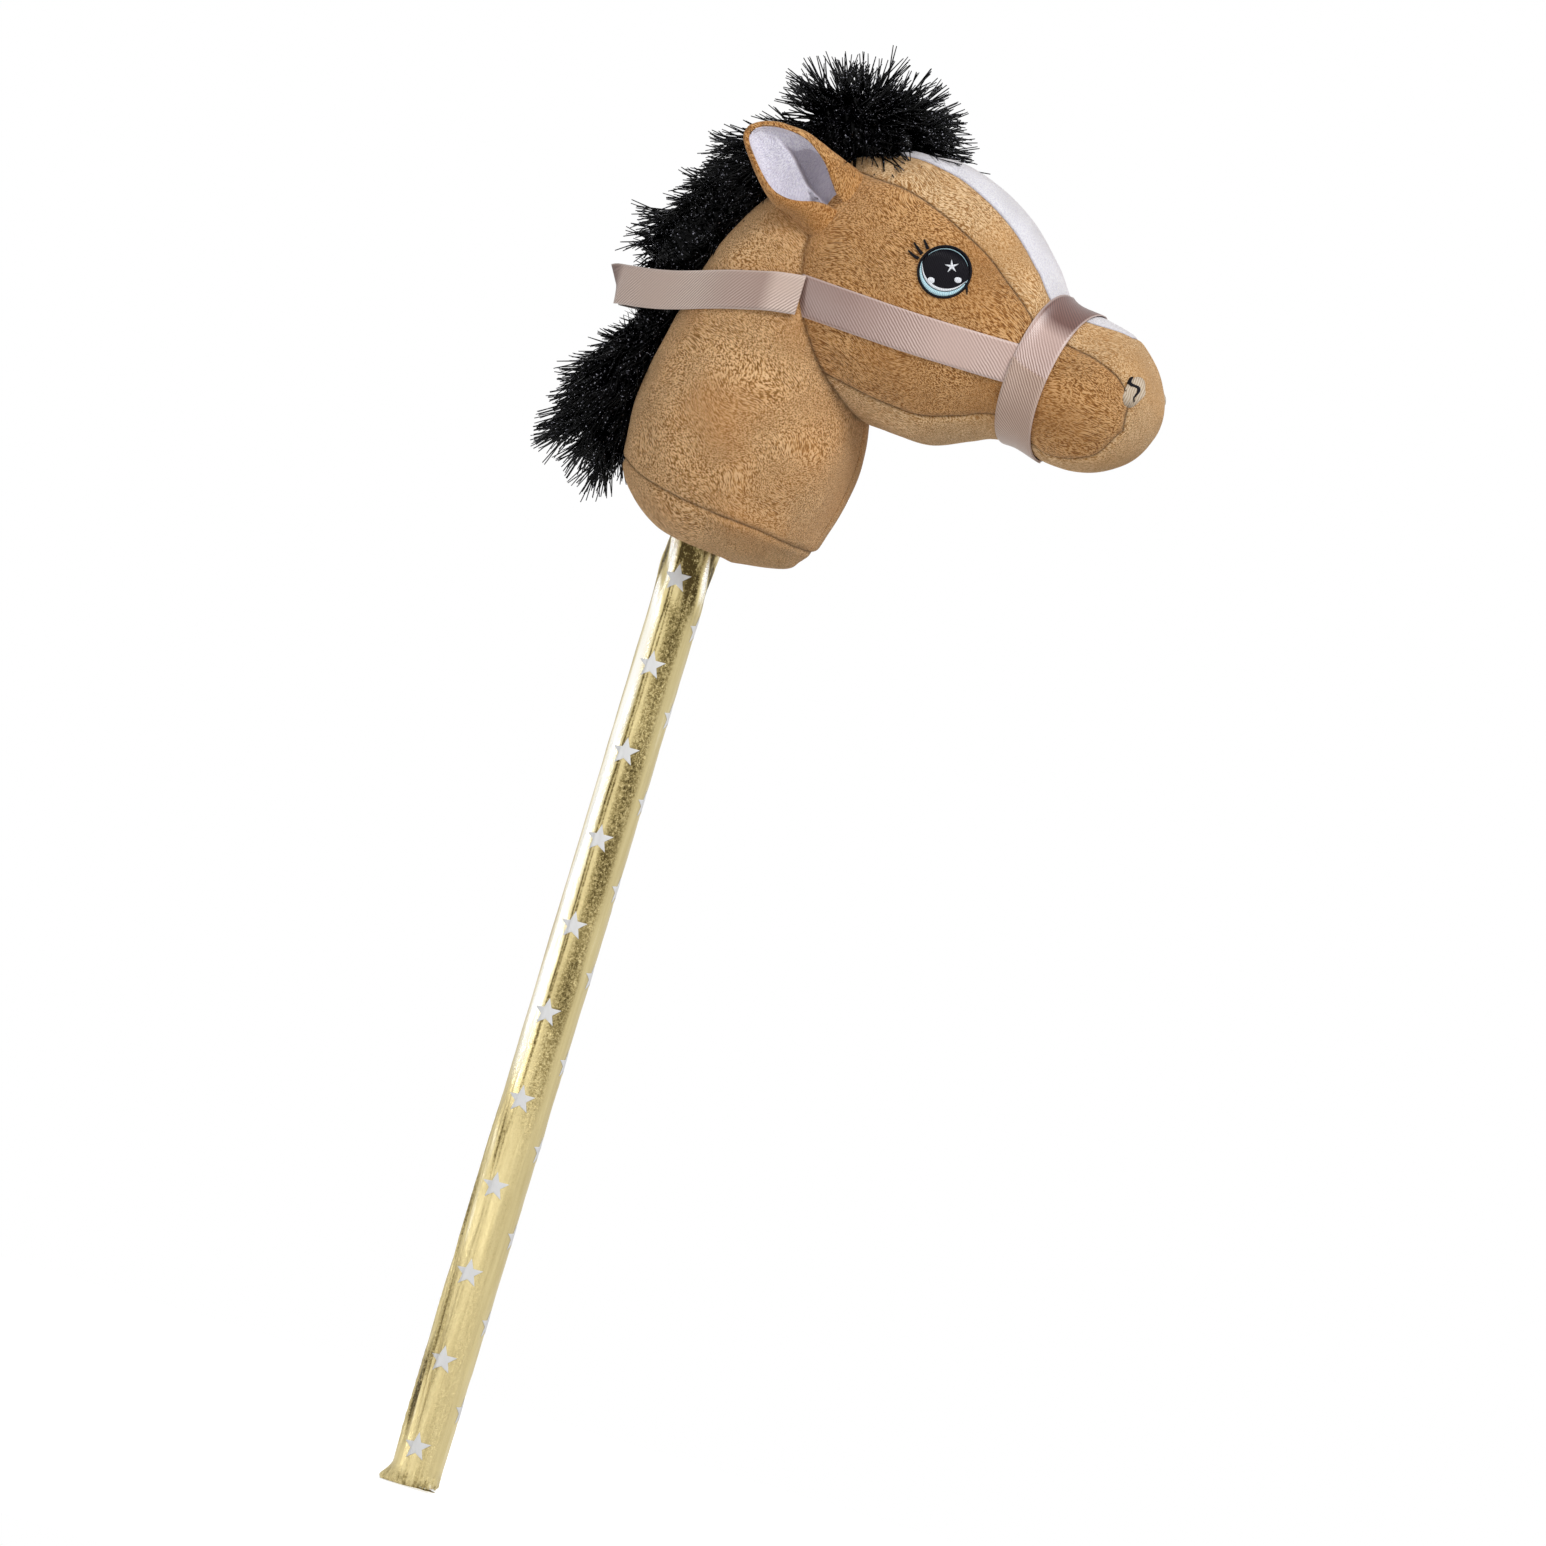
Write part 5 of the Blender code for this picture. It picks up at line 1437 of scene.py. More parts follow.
def one_spike(add):
    """One fibre, 1 across and 1 long, bent a little to one side."""
    spike = add("GeometryNodeMeshCone",
                {"Vertices": 3, "Side Segments": 2, "Radius Top": 0.2, "Radius Bottom": 0.5, "Depth": 1.0},
                fill_type="NGON")
    spot = add("GeometryNodeInputPosition")
    parts = add("ShaderNodeSeparateXYZ", {"Vector": spot})
    curve = add("ShaderNodeMath", {0: parts.outputs["Z"], 1: 2.0}, operation="POWER")
    aside = add("ShaderNodeMath", {0: curve, 1: 4.5}, operation="MULTIPLY")
    offset = add("ShaderNodeCombineXYZ", {"X": aside})
    return add("GeometryNodeSetPosition", {"Geometry": spike, "Offset": offset})


# %% Build the tree that grows the fibres
def fibre_turn(add, start, roots, comb, place, tuft):
    """Turns a fibre: off its backing, the way it is combed, into its tuft, and a little its own way."""
    to_tuft = add("ShaderNodeVectorMath", {0: tuft.outputs["Position"], 1: place}, operation="SUBTRACT")
    pull = add("ShaderNodeMath", {0: start["Tuft Pull"], 1: start["Fibre Length"]}, operation="DIVIDE")
    pulled = add("ShaderNodeVectorMath", {0: to_tuft, "Scale": pull}, operation="SCALE")
    # each tuft leans its own way, so that the tufts spread apart
    own = add("ShaderNodeTexNoise",
              {"Vector": tuft.outputs["Position"], "Scale": 900.0, "Detail": 0.0}, noise_dimensions="3D")
    own_way = add("ShaderNodeVectorMath", {0: own.outputs["Color"], 1: (0.5, 0.5, 0.5)}, operation="SUBTRACT")
    spread = add("ShaderNodeVectorMath", {0: own_way, "Scale": 1.3}, operation="SCALE")
    stray_low = add("ShaderNodeMath", {0: start["Stray"], 1: -1.0}, operation="MULTIPLY")
    low = add("ShaderNodeCombineXYZ", {"X": stray_low, "Y": stray_low, "Z": stray_low})
    high = add("ShaderNodeCombineXYZ", {"X": start["Stray"], "Y": start["Stray"], "Z": start["Stray"]})
    stray = add("FunctionNodeRandomValue", {0: low, 1: high, "Seed": start["Seed"]}, data_type="FLOAT_VECTOR")
    way = roots.outputs["Normal"]
    for part in (comb, pulled, spread, stray):
        way = add("ShaderNodeVectorMath", {0: way, 1: part}, operation="ADD")
    aimed = add("FunctionNodeAlignRotationToVector", {"Vector": way}, axis="Z")
    spin = add("FunctionNodeRandomValue", {2: -3.14, 3: 3.14}, data_type="FLOAT")
    spin_turn = add("ShaderNodeCombineXYZ", {"Z": spin})
    return add("FunctionNodeRotateRotation",
               {"Rotation": aimed, "Rotate By": spin_turn}, rotation_space="LOCAL")


def fibre_tree():
    """Scatters spikes over a backing, combed and drawn into tufts."""
    tree, add, start = new_tree("grow_fibres", {
        "Fibres per Square Metre": 4e5, "Fibre Length": 0.026, "Fibre Width": 0.001, "Tuft Size": 0.007,
        "Tuft Pull": 0.8, "Stray": 0.25, "Seed": SEED})
    growth, reach, comb = [add("GeometryNodeInputNamedAttribute", {"Name": name}, data_type=kind)
                           for name, kind in (("growth", "FLOAT"), ("reach", "FLOAT"), ("comb", "FLOAT_VECTOR"))]
    density = add("ShaderNodeMath", {0: growth, 1: start["Fibres per Square Metre"]}, operation="MULTIPLY")
    roots = add("GeometryNodeDistributePointsOnFaces",
                {"Mesh": start["Geometry"], "Density": density, "Seed": start["Seed"]},
                distribute_method="RANDOM")

    place = add("GeometryNodeInputPosition")
    cells = add("ShaderNodeMath", {0: 1.0, 1: start["Tuft Size"]}, operation="DIVIDE")
    tuft = add("ShaderNodeTexVoronoi", {"Vector": place, "Scale": cells}, feature="F1")
    turned = fibre_turn(add, start, roots, comb, place, tuft)

    share = add("FunctionNodeRandomValue", {2: 0.8, 3: 1.1}, data_type="FLOAT")
    reached = add("ShaderNodeMath", {0: share, 1: reach}, operation="MULTIPLY")
    # some tufts are longer than others
    chance = add("ShaderNodeSeparateXYZ", {"Vector": tuft.outputs["Color"]})
    uneven = add("ShaderNodeMapRange", {"Value": chance.outputs["X"], "To Min": 0.6, "To Max": 1.25})
    tufted = add("ShaderNodeMath", {0: reached, 1: uneven}, operation="MULTIPLY")
    long = add("ShaderNodeMath", {0: tufted, 1: start["Fibre Length"]}, operation="MULTIPLY")
    size = add("ShaderNodeCombineXYZ", {"X": start["Fibre Width"], "Y": start["Fibre Width"], "Z": long})
    grown = add("GeometryNodeInstanceOnPoints",
                {"Points": roots, "Instance": one_spike(add), "Rotation": turned, "Scale": size})
    real = add("GeometryNodeRealizeInstances", {"Geometry": grown})
    joined = add("GeometryNodeJoinGeometry", {0: [real, start["Geometry"]]})
    done = add("GeometryNodeSetMaterial", {"Geometry": joined, "Material": start["Finish"]})
    add("NodeGroupOutput", {0: done})
    return tree


fibres = fibre_tree()
print("tree:", fibres.name, "with", len(fibres.nodes), "nodes")

# %% Run a tree on a mesh and keep the plain mesh
def run_tree(tree, mesh, values):
    """Runs a Geometry Nodes tree on a mesh with values for its named inputs, and gives back a plain mesh."""
    holder = put_in_scene("start", mesh)
    modifier = holder.modifiers.new("grow", "NODES")
    modifier.node_group = tree
    keys = {item.name: item.identifier for item in tree.interface.items_tree if item.in_out == "INPUT"}
    for label, value in values.items():
        modifier[keys[label]] = value
    final, start = final_mesh(holder), holder.data
    bpy.data.objects.remove(holder)
    bpy.data.meshes.remove(start)
    return final


def comb_mane(point, normal):
    """Down along the neck and a little back, lying closer to the backing than straight fur would."""
    return Vector((-0.40, 0, -0.85)) - normal * 0.42


def comb_forelock(point, normal):
    """Out from the crown on all sides, and forwards and down over the forehead."""
    away = point - head.at(-4, 22)
    away.y *= 0.6
    low = 1 - ease((point.z - head.at(0, 8).z) / (24 * MM))
    return away.normalized() * 0.7 + Vector((0.35, 0, -0.15 - 0.35 * low)) - normal * 0.5


FIBRES = 2.6e5
for name, form, rows, sides, shrink, combed, length, seed in (
        ("mane_fur", mane_form, 90, 48, 8 * MM, comb_mane, 28 * MM, SEED),
        ("forelock_fur", forelock_form, 50, 48, 8 * MM, comb_forelock, 25 * MM, SEED + 1)):
    node = name[:-4]
    backing = fur_backing(form, rows, sides, shrink, combed)
    area = sum(face.calc_area() for face in backing.faces)
    grown = run_tree(fibres, backing, {"Fibres per Square Metre": FIBRES, "Fibre Length": length,
                                       "Fibre Width": 1.5 * MM, "Tuft Size": 9.0 * MM, "Tuft Pull": 1.8,
                                       "Stray": 0.07, "Seed": seed, "Finish": black_fur})
    fur = add_piece(name, grown, black_fur, node=node)
    triangles = sum(len(face.vertices) - 2 for face in fur.data.polygons)
    print("%s: %d triangles on %.0f square cm of backing" % (name, triangles, area * 1e4))

# %% [markdown]
# ## The gold sleeve
# The sleeve is a tube of gold lamé: a thin knit with metal foil bonded to its face. It is only a little wider than
# the stick, so it lies nearly smooth, but it has spare width that gathers in a few long folds, fine wrinkles
# along those folds, soft pleats where it goes up into the neck, and a crumpled lip where it is sewn shut at the
# foot. Foil is a metal, so it has no colour but its reflection: every wrinkle shows as a light and a dark line.
# So the folds are shaped in the mesh, and the finest crinkle is left to the finish. The reflections are also
# painted into the foil's colour: long bright and dark bands of painted reflection round the sleeve, painted shade
# in the hollows of the pleats, wrinkles and crumples with painted highlights on their tops, and dark specks
# where the foil is cracked.

# %% Foil-bonded knit
def gold_lame():
    """Gold foil on a knit: metallic, softly polished, with fine crinkle where the cloth is creased, and with
    painted reflections, painted shade and cracked foil in its colour.
    """
    material, add = new_finish("gold_lame_foil_knit")
    place = add("ShaderNodeTexCoord").outputs["Object"]
    long = add("ShaderNodeMapping", {"Vector": place, "Scale": (1, 1, 0.25)})
    # stitches of the knit under the foil, about 0.9 mm wide, drawn as coarse as they need to show
    knit = add("ShaderNodeTexNoise", {"Vector": long, "Scale": 1100.0, "Detail": 2.0, "Roughness": 0.6})
    # crinkle of 1.5 to 3 mm, only where the cloth is creased
    crinkle = add("ShaderNodeTexNoise",
                  {"Vector": place, "Scale": 520.0, "Detail": 4.0, "Roughness": 0.75, "Distortion": 1.2})
    crease = add("ShaderNodeAttribute", attribute_name="crease")
    crinkled = add("ShaderNodeMath", {0: crinkle, 1: crease.outputs["Fac"]}, operation="MULTIPLY")
    fine = add("ShaderNodeMath", {0: knit, 1: 0.10}, operation="MULTIPLY")
    height = add("ShaderNodeMath", {0: crinkled, 1: fine}, operation="ADD")
    lift = add("ShaderNodeBump", {"Height": height, "Strength": 1.0, "Distance": 1.1 * MM})
    streaked = add("ShaderNodeMapping", {"Vector": place, "Scale": (1, 1, 0.06)})
    # streaks and specks of 1 to 2 mm: painted dark reflections along the folds, and cracked foil where the brown
    # knit shows
    streak = add("ShaderNodeTexNoise", {"Vector": streaked, "Scale": 420.0, "Detail": 3.0, "Roughness": 0.6})
    speck = add("ShaderNodeTexNoise",
                {"Vector": place, "Scale": 760.0, "Detail": 3.0, "Roughness": 0.75, "Distortion": 0.8})
    dull = add("ShaderNodeAttribute", attribute_name="dull")
    speck_strength = add("ShaderNodeMath", {0: dull.outputs["Fac"], 1: 0.04}, operation="MAXIMUM")
    grit = add("ShaderNodeMath", {0: speck, 1: 0.5}, operation="SUBTRACT")
    gritty = add("ShaderNodeMath", {0: grit, 1: speck_strength}, operation="MULTIPLY")
    specked = add("ShaderNodeMath", {0: gritty, 1: 5.0, 2: dull.outputs["Fac"]}, operation="MULTIPLY_ADD")
    lines = add("ShaderNodeMath", {0: streak, 1: 0.6, 2: specked}, operation="MULTIPLY_ADD")
    wear_and_light_share = add("ShaderNodeMapRange", {"Value": lines, "From Min": -0.70, "From Max": 1.30})
    # the colour runs from a painted highlight, near white, through the gold to painted shade and worn foil, dark
    # brown
    tone = add("ShaderNodeValToRGB",
               {"Fac": wear_and_light_share},
               stops=[(0.0, "FFFDF6"), (0.22, "F6EFD8"), (0.42, "D0C190"), (0.56, "C0B080"), (0.74, "8F8054"),
                      (1.0, "4C4024")])
    rough = add("ShaderNodeMapRange",
                {"Value": wear_and_light_share, "From Min": 0.2, "From Max": 0.9, "To Min": 0.22, "To Max": 0.5})
    shader = add("ShaderNodeBsdfPrincipled",
                 {"Base Color": tone, "Metallic": 1.0, "Roughness": rough, "Normal": lift, "Anisotropic": 0.3})
    add("ShaderNodeOutputMaterial", {"Surface": shader})
    return material


lame = gold_lame()
print("sleeve finish:", lame.name)

# %% Lay out the folds and the dull bands
SLEEVE_RADIUS = 13.35 * MM
SLEEVE_TOP = HANDLE_LENGTH + 60 * MM
SLEEVE_WALL = 0.35 * MM
# long folds: turn in degrees, height in mm, half width in degrees, and a number of its own
SLEEVE_FOLDS = [(-99, 0.95, 6.0, 1.0), (-131, 0.6, 5.0, 2.0), (-62, 0.25, 12.0, 3.0), (28, 0.5, 8.0, 4.0),
                (95, 0.8, 6.0, 5.0), (150, 0.6, 7.0, 6.0)]
# long bands of painted reflection round the sleeve, darker or brighter: turn in degrees, half width, and how dark
# the painted band is low down and high up, brighter below 0
PAINTED_LIGHT_BANDS = [(-127, 20, 0.0, -1.0), (-99, 2.4, 0.20, 0.85), (-93, 1.8, 0.15, 0.6), (-61, 22, 0.10, 0.62),
                (-20, 20, 0.0, -0.10), (-163, 5, 0.45, 0.35), (30, 16, 0.05, 0.40), (60, 20, -0.20, -0.55),
                (95, 12, 0.20, 0.65), (140, 20, -0.15, -0.45), (152, 2.2, 0.3, 0.7), (178, 10, 0.1, 0.35)]


def turn_between(first, second):
    """The turn from one direction to another in degrees, the short way round."""
    return (first - second + 180) % 360 - 180


def ripple(x, y, z):
    """A smooth random value between about -1 and 1, the same each time for the same place."""
    return noise.noise(Vector((x, y, z)))


def painted_light_bands(turn, z):
    """How dark the painted bands of reflection round the sleeve are at a turn and a height, brighter below 0."""
    dull, high = 0.0, ease((z - 170 * MM) / (110 * MM))
    for middle, width, below, above in PAINTED_LIGHT_BANDS:
        wander = 3 * ripple(middle, 2, z * 10) + 1.5 * ripple(middle, 7, z * 60)
        away = turn_between(turn, middle + wander) / width
        patchy = 1 + 0.5 * ripple(middle, 4, z * 25)
        dull += (below + (above - below) * high) * patchy * math.exp(-abs(away) ** 3)
    return dull


def long_folds(turn, z):
    """How far the long folds stand out, and how creased the cloth is beside them."""
    stand, crease = 0.0, 0.0
    for middle, height, width, seed in SLEEVE_FOLDS:
        wander = 7 * ripple(seed * 3.1, 0, z * 9) + 3 * ripple(seed, 5, z * 30)
        strength = min(max(0.45 + 0.9 * ripple(0, seed * 2.3, z * 11), 0.05), 1.0)
        away = turn_between(turn, middle + wander)
        # a fold is steep on one side and leans over on the other
        side = away / (width if away > 0 else width * 0.45)
        stand += height * MM * strength * math.exp(-side * side)
        crease = max(crease, strength * math.exp(-(away / (width * 2.2)) ** 2))
    return stand, crease


print("folds:", len(SLEEVE_FOLDS), "and bands:", len(PAINTED_LIGHT_BANDS))

# %% Shape the sleeve
def sleeve_shape(turn, z):
    """The sleeve's radius in metres, how creased it is, and its wear and painted light, at a turn in degrees and a
    height.
    """
    dull = painted_light_bands(turn, z)
    stand, crease = long_folds(turn, z)
    x, y = Vector((math.cos(math.radians(turn)), math.sin(math.radians(turn))))
    ridge = 1 - abs(ripple(x * 2.2, y * 2.2, z * 26 + turn * 0.004)) * 2.6
    stand += 0.35 * MM * max(ridge, 0.0) ** 3 * (0.3 + crease)
    stand += 0.2 * MM * ripple(x * 3, y * 3, z * 60)
    # long slack wrinkles at the rear of the lower half, with painted shade in their hollows, a painted highlight on
    # their tops, and darker patches at random
    rear = math.exp(-(turn_between(turn, -136) / 30) ** 4) * ease((z - 8 * MM) / (30 * MM))
    rear *= 1 - ease((z - 180 * MM) / (50 * MM))
    slack = 1 - 3.0 * abs(ripple(math.radians(turn) * 5 + z * 24, 1.0, z * 11))
    rough_spot = max(ripple(x * 2, y * 2, z * 22 + 4), 0.0)
    stand += rear * 0.9 * MM * slack
    dull += rear * (0.10 + 0.55 * max(-slack, 0.0) - 0.35 * max(slack, 0.0) + 1.3 * rough_spot)
    crease = max(crease, rear * (0.4 + rough_spot))
    # pleats where the sleeve goes up into the neck, painted darker all over as painted shade under the neck, with
    # painted shade in their hollows and a painted highlight on their crests
    gather = ease((z - 462 * MM) / (42 * MM))
    pleat = math.cos(math.radians(turn * 5 + z * 9000)) * 0.6 + ripple(x * 5, y * 5, z * 40)
    stand += gather * 1.5 * MM * max(pleat, -0.2)
    dull += gather * (0.35 - 1.25 * pleat)
    crease = max(crease, 0.8 * gather)
    # nothing sinks into the stick
    stand = max(stand, -0.35 * MM)
    # the sewn foot: rounded in at the edge, with a flared lip at the rear
    foot = 1 - ease(z / (13 * MM))
    stand -= 1.3 * MM * (1 - ease(z / (2.6 * MM))) ** 1.5
    lip = math.exp(-(turn_between(turn, -162) / 26) ** 2)
    stand += lip * 5.2 * MM * max(foot, 0.0) ** 1.6
    crumple = ripple(x * 7, y * 7, z * 180)
    crumple += 0.5 * ripple(x * 15, y * 15, z * 320)
    stand += foot * 0.75 * MM * crumple
    # painted shade in the hollows of the crumples and a painted highlight on their tops
    dull += foot * (0.15 - 0.5 * crumple)
    crease = max(crease, foot)
    return SLEEVE_RADIUS + stand, min(crease * 1.1, 1.0) * (1 - 0.2 * (z / HANDLE_LENGTH)), dull


print("the sleeve's wall stands at a radius of %.1f mm near its middle" % (sleeve_shape(0, 250 * MM)[0] / MM))

# %% Make the sleeve
heights = (evenly(0.0, 12 * MM, 16) + evenly(13.5 * MM, 470 * MM, 205) + evenly(471.5 * MM, 515 * MM, 34)
           + evenly(518 * MM, SLEEVE_TOP, 14))
turns = evenly(-180.0, 180.0, 181)[:-1]
mesh = bmesh.new()
crease, wear_and_light_layer = [mesh.verts.layers.float.new(name) for name in ("crease", "dull")]
rings = []
for z in heights:
    ring = []
    for turn in turns:
        radius, creased, wear_and_light_here = sleeve_shape(turn, z)
        # the foot is cut a little aslant
        tilt = 1.6 * MM * math.exp(-(turn_between(turn, 10) / 70) ** 2) * (1 - ease(z / (9 * MM)))
        angle = math.radians(turn)
        vert = mesh.verts.new((radius * math.cos(angle), radius * math.sin(angle), z + tilt))
        vert[crease], vert[wear_and_light_layer] = creased, wear_and_light_here
        ring.append(vert)
    rings.append(ring)
join_rings(mesh, rings)
face_away(mesh, Vector((0, 0, 0.25)))
foil = sum(face.calc_area() for face in mesh.faces)
give_wall(mesh, SLEEVE_WALL)
sleeve = add_piece("gold_sleeve", mesh, lame, node="stick_sleeve")

# %% Close the foot
def foot_height(radius, turn):
    """The foot's cloth is drawn together towards its middle in small creases."""
    around = Vector((math.cos(turn), math.sin(turn), 0))
    return 0.45 * MM + 0.35 * MM * noise.noise(around * 4 + Vector((0, 0, radius * 90)))


grid = [[Vector((radius * math.cos(turn), radius * math.sin(turn), foot_height(radius, turn)))
         for turn in full_turn(72)] for radius in evenly(0.2 * MM, 12.4 * MM, 24)]
mesh = sheet_of([grid], Vector((0, 0, 0.05)), closed=True)
crease, wear_and_light_layer = [mesh.verts.layers.float.new(name) for name in ("crease", "dull")]
for vert in mesh.verts:
    # the foot's cloth is evenly a little creased and a little darker than plain foil
    vert[crease], vert[wear_and_light_layer] = 0.7, 0.3
foot_area = sum(face.calc_area() for face in mesh.faces)
give_wall(mesh, SLEEVE_WALL)
foot = add_piece("sleeve_foot", mesh, lame, node="sleeve_foot_disc")
print("foot: %.1f square cm" % (foot_area * 1e4))

# %% [markdown]
# ### The printed stars
# The stars are a matt lilac-white print on the foil, 15 mm from tip to tip. They stand in three columns round the
# sleeve, with a star every 47 mm, and the middle column is half a step higher. They repeat by a rule, so Geometry
# Nodes make them: one star is copied over a flat sheet, the sheet is rolled up round the stick, and every point is
# dropped onto the sleeve, so that the print follows the folds.

# %% Matt print on foil
# a matt ink, lilac-white and slightly uneven, with the knit showing through
ink = plain_finish("screen_print_lilac_white", [(0.3, "FBF9FF"), (0.7, "FFFFFF")], {"Scale": 900.0, "Detail": 2.0},
                   None, (0.4, 0.15), (0.55, 0.75),
                   {"IOR": 1.48, "Specular IOR Level": 0.4, "Sheen Weight": 0.3, "Sheen Roughness": 0.6})
print("print finish:", ink.name)

# %% Draw one star and the sheet of stars
def one_star(add, start, spot):
    """A round of ten corners with every other one drawn in."""
    round_of = add("GeometryNodeMeshCircle", {"Vertices": 10, "Radius": start["Star Reach"]}, fill_type="NGON")
    index = add("GeometryNodeInputIndex")
    odd = add("ShaderNodeMath", {0: index, 1: 2.0}, operation="MODULO")
    drawn_in = add("ShaderNodeMapRange", {"Value": odd, "To Min": 1.0, "To Max": 0.42})
    cornered = add("ShaderNodeVectorMath", {0: spot, "Scale": drawn_in}, operation="SCALE")
    star = add("GeometryNodeSetPosition", {"Geometry": round_of, "Position": cornered})
    parted = add("GeometryNodeTriangulate", {"Mesh": star})
    return add("GeometryNodeSubdivideMesh", {"Mesh": parted, "Level": 3})


def star_sheet(add, start, here, star):
    """Stars on a flat sheet: three columns of eleven, the middle one half a step higher."""
    width = add("ShaderNodeMath", {0: start["Column Step"], 1: 2.0}, operation="MULTIPLY")
    height = add("ShaderNodeMath", {0: start["Row Step"], 1: 10.0}, operation="MULTIPLY")
    sheet = add("GeometryNodeMeshGrid", {"Size X": width, "Size Y": height, "Vertices X": 3, "Vertices Y": 11})
    half_width = add("ShaderNodeMath", {0: width, 1: 0.5}, operation="MULTIPLY")
    half_height = add("ShaderNodeMath", {0: height, 1: 0.5}, operation="MULTIPLY")
    from_left = add("ShaderNodeMath", {0: here.outputs["X"], 1: half_width}, operation="ADD")
    from_foot = add("ShaderNodeMath", {0: here.outputs["Y"], 1: half_height}, operation="ADD")
    column = add("ShaderNodeMath", {0: from_left, 1: start["Column Step"]}, operation="DIVIDE")
    whole = add("ShaderNodeMath", {0: column}, operation="ROUND")
    other = add("ShaderNodeMath", {0: whole, 1: 2.0}, operation="MODULO")
    half_step = add("ShaderNodeMath", {0: start["Row Step"], 1: 0.5}, operation="MULTIPLY")
    raised = add("ShaderNodeMath", {0: other, 1: half_step, 2: from_foot}, operation="MULTIPLY_ADD")
    high = add("ShaderNodeMath", {0: raised, 1: start["First Height"]}, operation="ADD")
    flat = add("ShaderNodeCombineXYZ", {"X": from_left, "Y": high})
    spots = add("GeometryNodeSetPosition", {"Geometry": sheet, "Position": flat})
    seen = add("FunctionNodeCompare", {0: here.outputs["Y"], 1: 0.5}, data_type="FLOAT", operation="LESS_THAN")
    star_turn = add("ShaderNodeCombineXYZ", {"Z": start["Star Turn"]})
    stars = add("GeometryNodeInstanceOnPoints",
                {"Points": spots, "Selection": seen, "Instance": star, "Rotation": star_turn})
    return add("GeometryNodeRealizeInstances", {"Geometry": stars})


# %% Roll the sheet up and drop it on the sleeve
def star_tree():
    """Rolls the sheet of stars round the stick and drops every point of it on the sleeve."""
    tree, add, start = new_tree("print_stars", {
        "Star Reach": 0.0078, "Column Step": 0.0228, "Row Step": 0.0471, "First Height": 0.0212,
        "Roll Radius": 0.0136, "First Turn": -math.pi / 2, "Star Turn": 0.0, "Print Thickness": 0.00012})
    spot = add("GeometryNodeInputPosition")
    here = add("ShaderNodeSeparateXYZ", {"Vector": spot})
    sheet = star_sheet(add, start, here, one_star(add, start, spot))

    angle = add("ShaderNodeMath", {0: here.outputs["X"], 1: start["Roll Radius"]}, operation="DIVIDE")
    turn = add("ShaderNodeMath", {0: angle, 1: start["First Turn"]}, operation="ADD")
    across = add("ShaderNodeMath", {0: turn}, operation="COSINE")
    along = add("ShaderNodeMath", {0: turn}, operation="SINE")
    out = add("ShaderNodeCombineXYZ", {"X": across, "Y": along})
    far = add("ShaderNodeVectorMath", {0: out, "Scale": 0.03}, operation="SCALE")
    level = add("ShaderNodeCombineXYZ", {"Z": here.outputs["Y"]})
    outside = add("ShaderNodeVectorMath", {0: far, 1: level}, operation="ADD")
    rolled = add("GeometryNodeSetPosition", {"Geometry": sheet, "Position": outside})

    # drop it on the sleeve
    inwards = add("ShaderNodeVectorMath", {0: spot, 1: (-1, -1, 0)}, operation="MULTIPLY")
    onto = add("GeometryNodeRaycast",
               {"Target Geometry": start["Geometry"], "Ray Direction": inwards, "Ray Length": 0.05})
    proud = add("ShaderNodeVectorMath", {0: onto.outputs["Hit Normal"], "Scale": 0.00006}, operation="SCALE")
    landed = add("ShaderNodeVectorMath", {0: onto.outputs["Hit Position"], 1: proud}, operation="ADD")
    laid = add("GeometryNodeSetPosition", {"Geometry": rolled, "Position": landed})
    thick = add("GeometryNodeExtrudeMesh",
                {"Mesh": laid, "Offset Scale": start["Print Thickness"], "Individual": False}, mode="FACES")
    under = add("GeometryNodeFlipFaces", {"Mesh": laid})
    joined = add("GeometryNodeJoinGeometry", {0: [thick, under]})
    welded = add("GeometryNodeMergeByDistance", {"Geometry": joined, "Distance": 1e-6})
    done = add("GeometryNodeSetMaterial", {"Geometry": welded, "Material": start["Finish"]})
    add("NodeGroupOutput", {0: done})
    return tree


sleeve_copy = bmesh.new()
sleeve_copy.from_mesh(sleeve.data)
printed = run_tree(star_tree(), sleeve_copy, {"Star Turn": math.radians(22), "Star Reach": 7.8 * MM, "Finish": ink})
stars = add_piece("printed_stars", printed, printed.materials[0])
print("stars:", len(stars.data.polygons), "faces")

# %% [markdown]
# ## The hard parts inside
# The stick, the cap that keeps its end from cutting through the filling, and the pad under its foot are hidden.
# They are turned and moulded shapes that the solids already have right, so they keep their shapes and only get
# their finishes. The beech is pale, with fine long pores and slow bands of growth, sanded but not lacquered. The
# polyethylene has its natural colour: milky, softly glossy, with the faint grain of its mould.

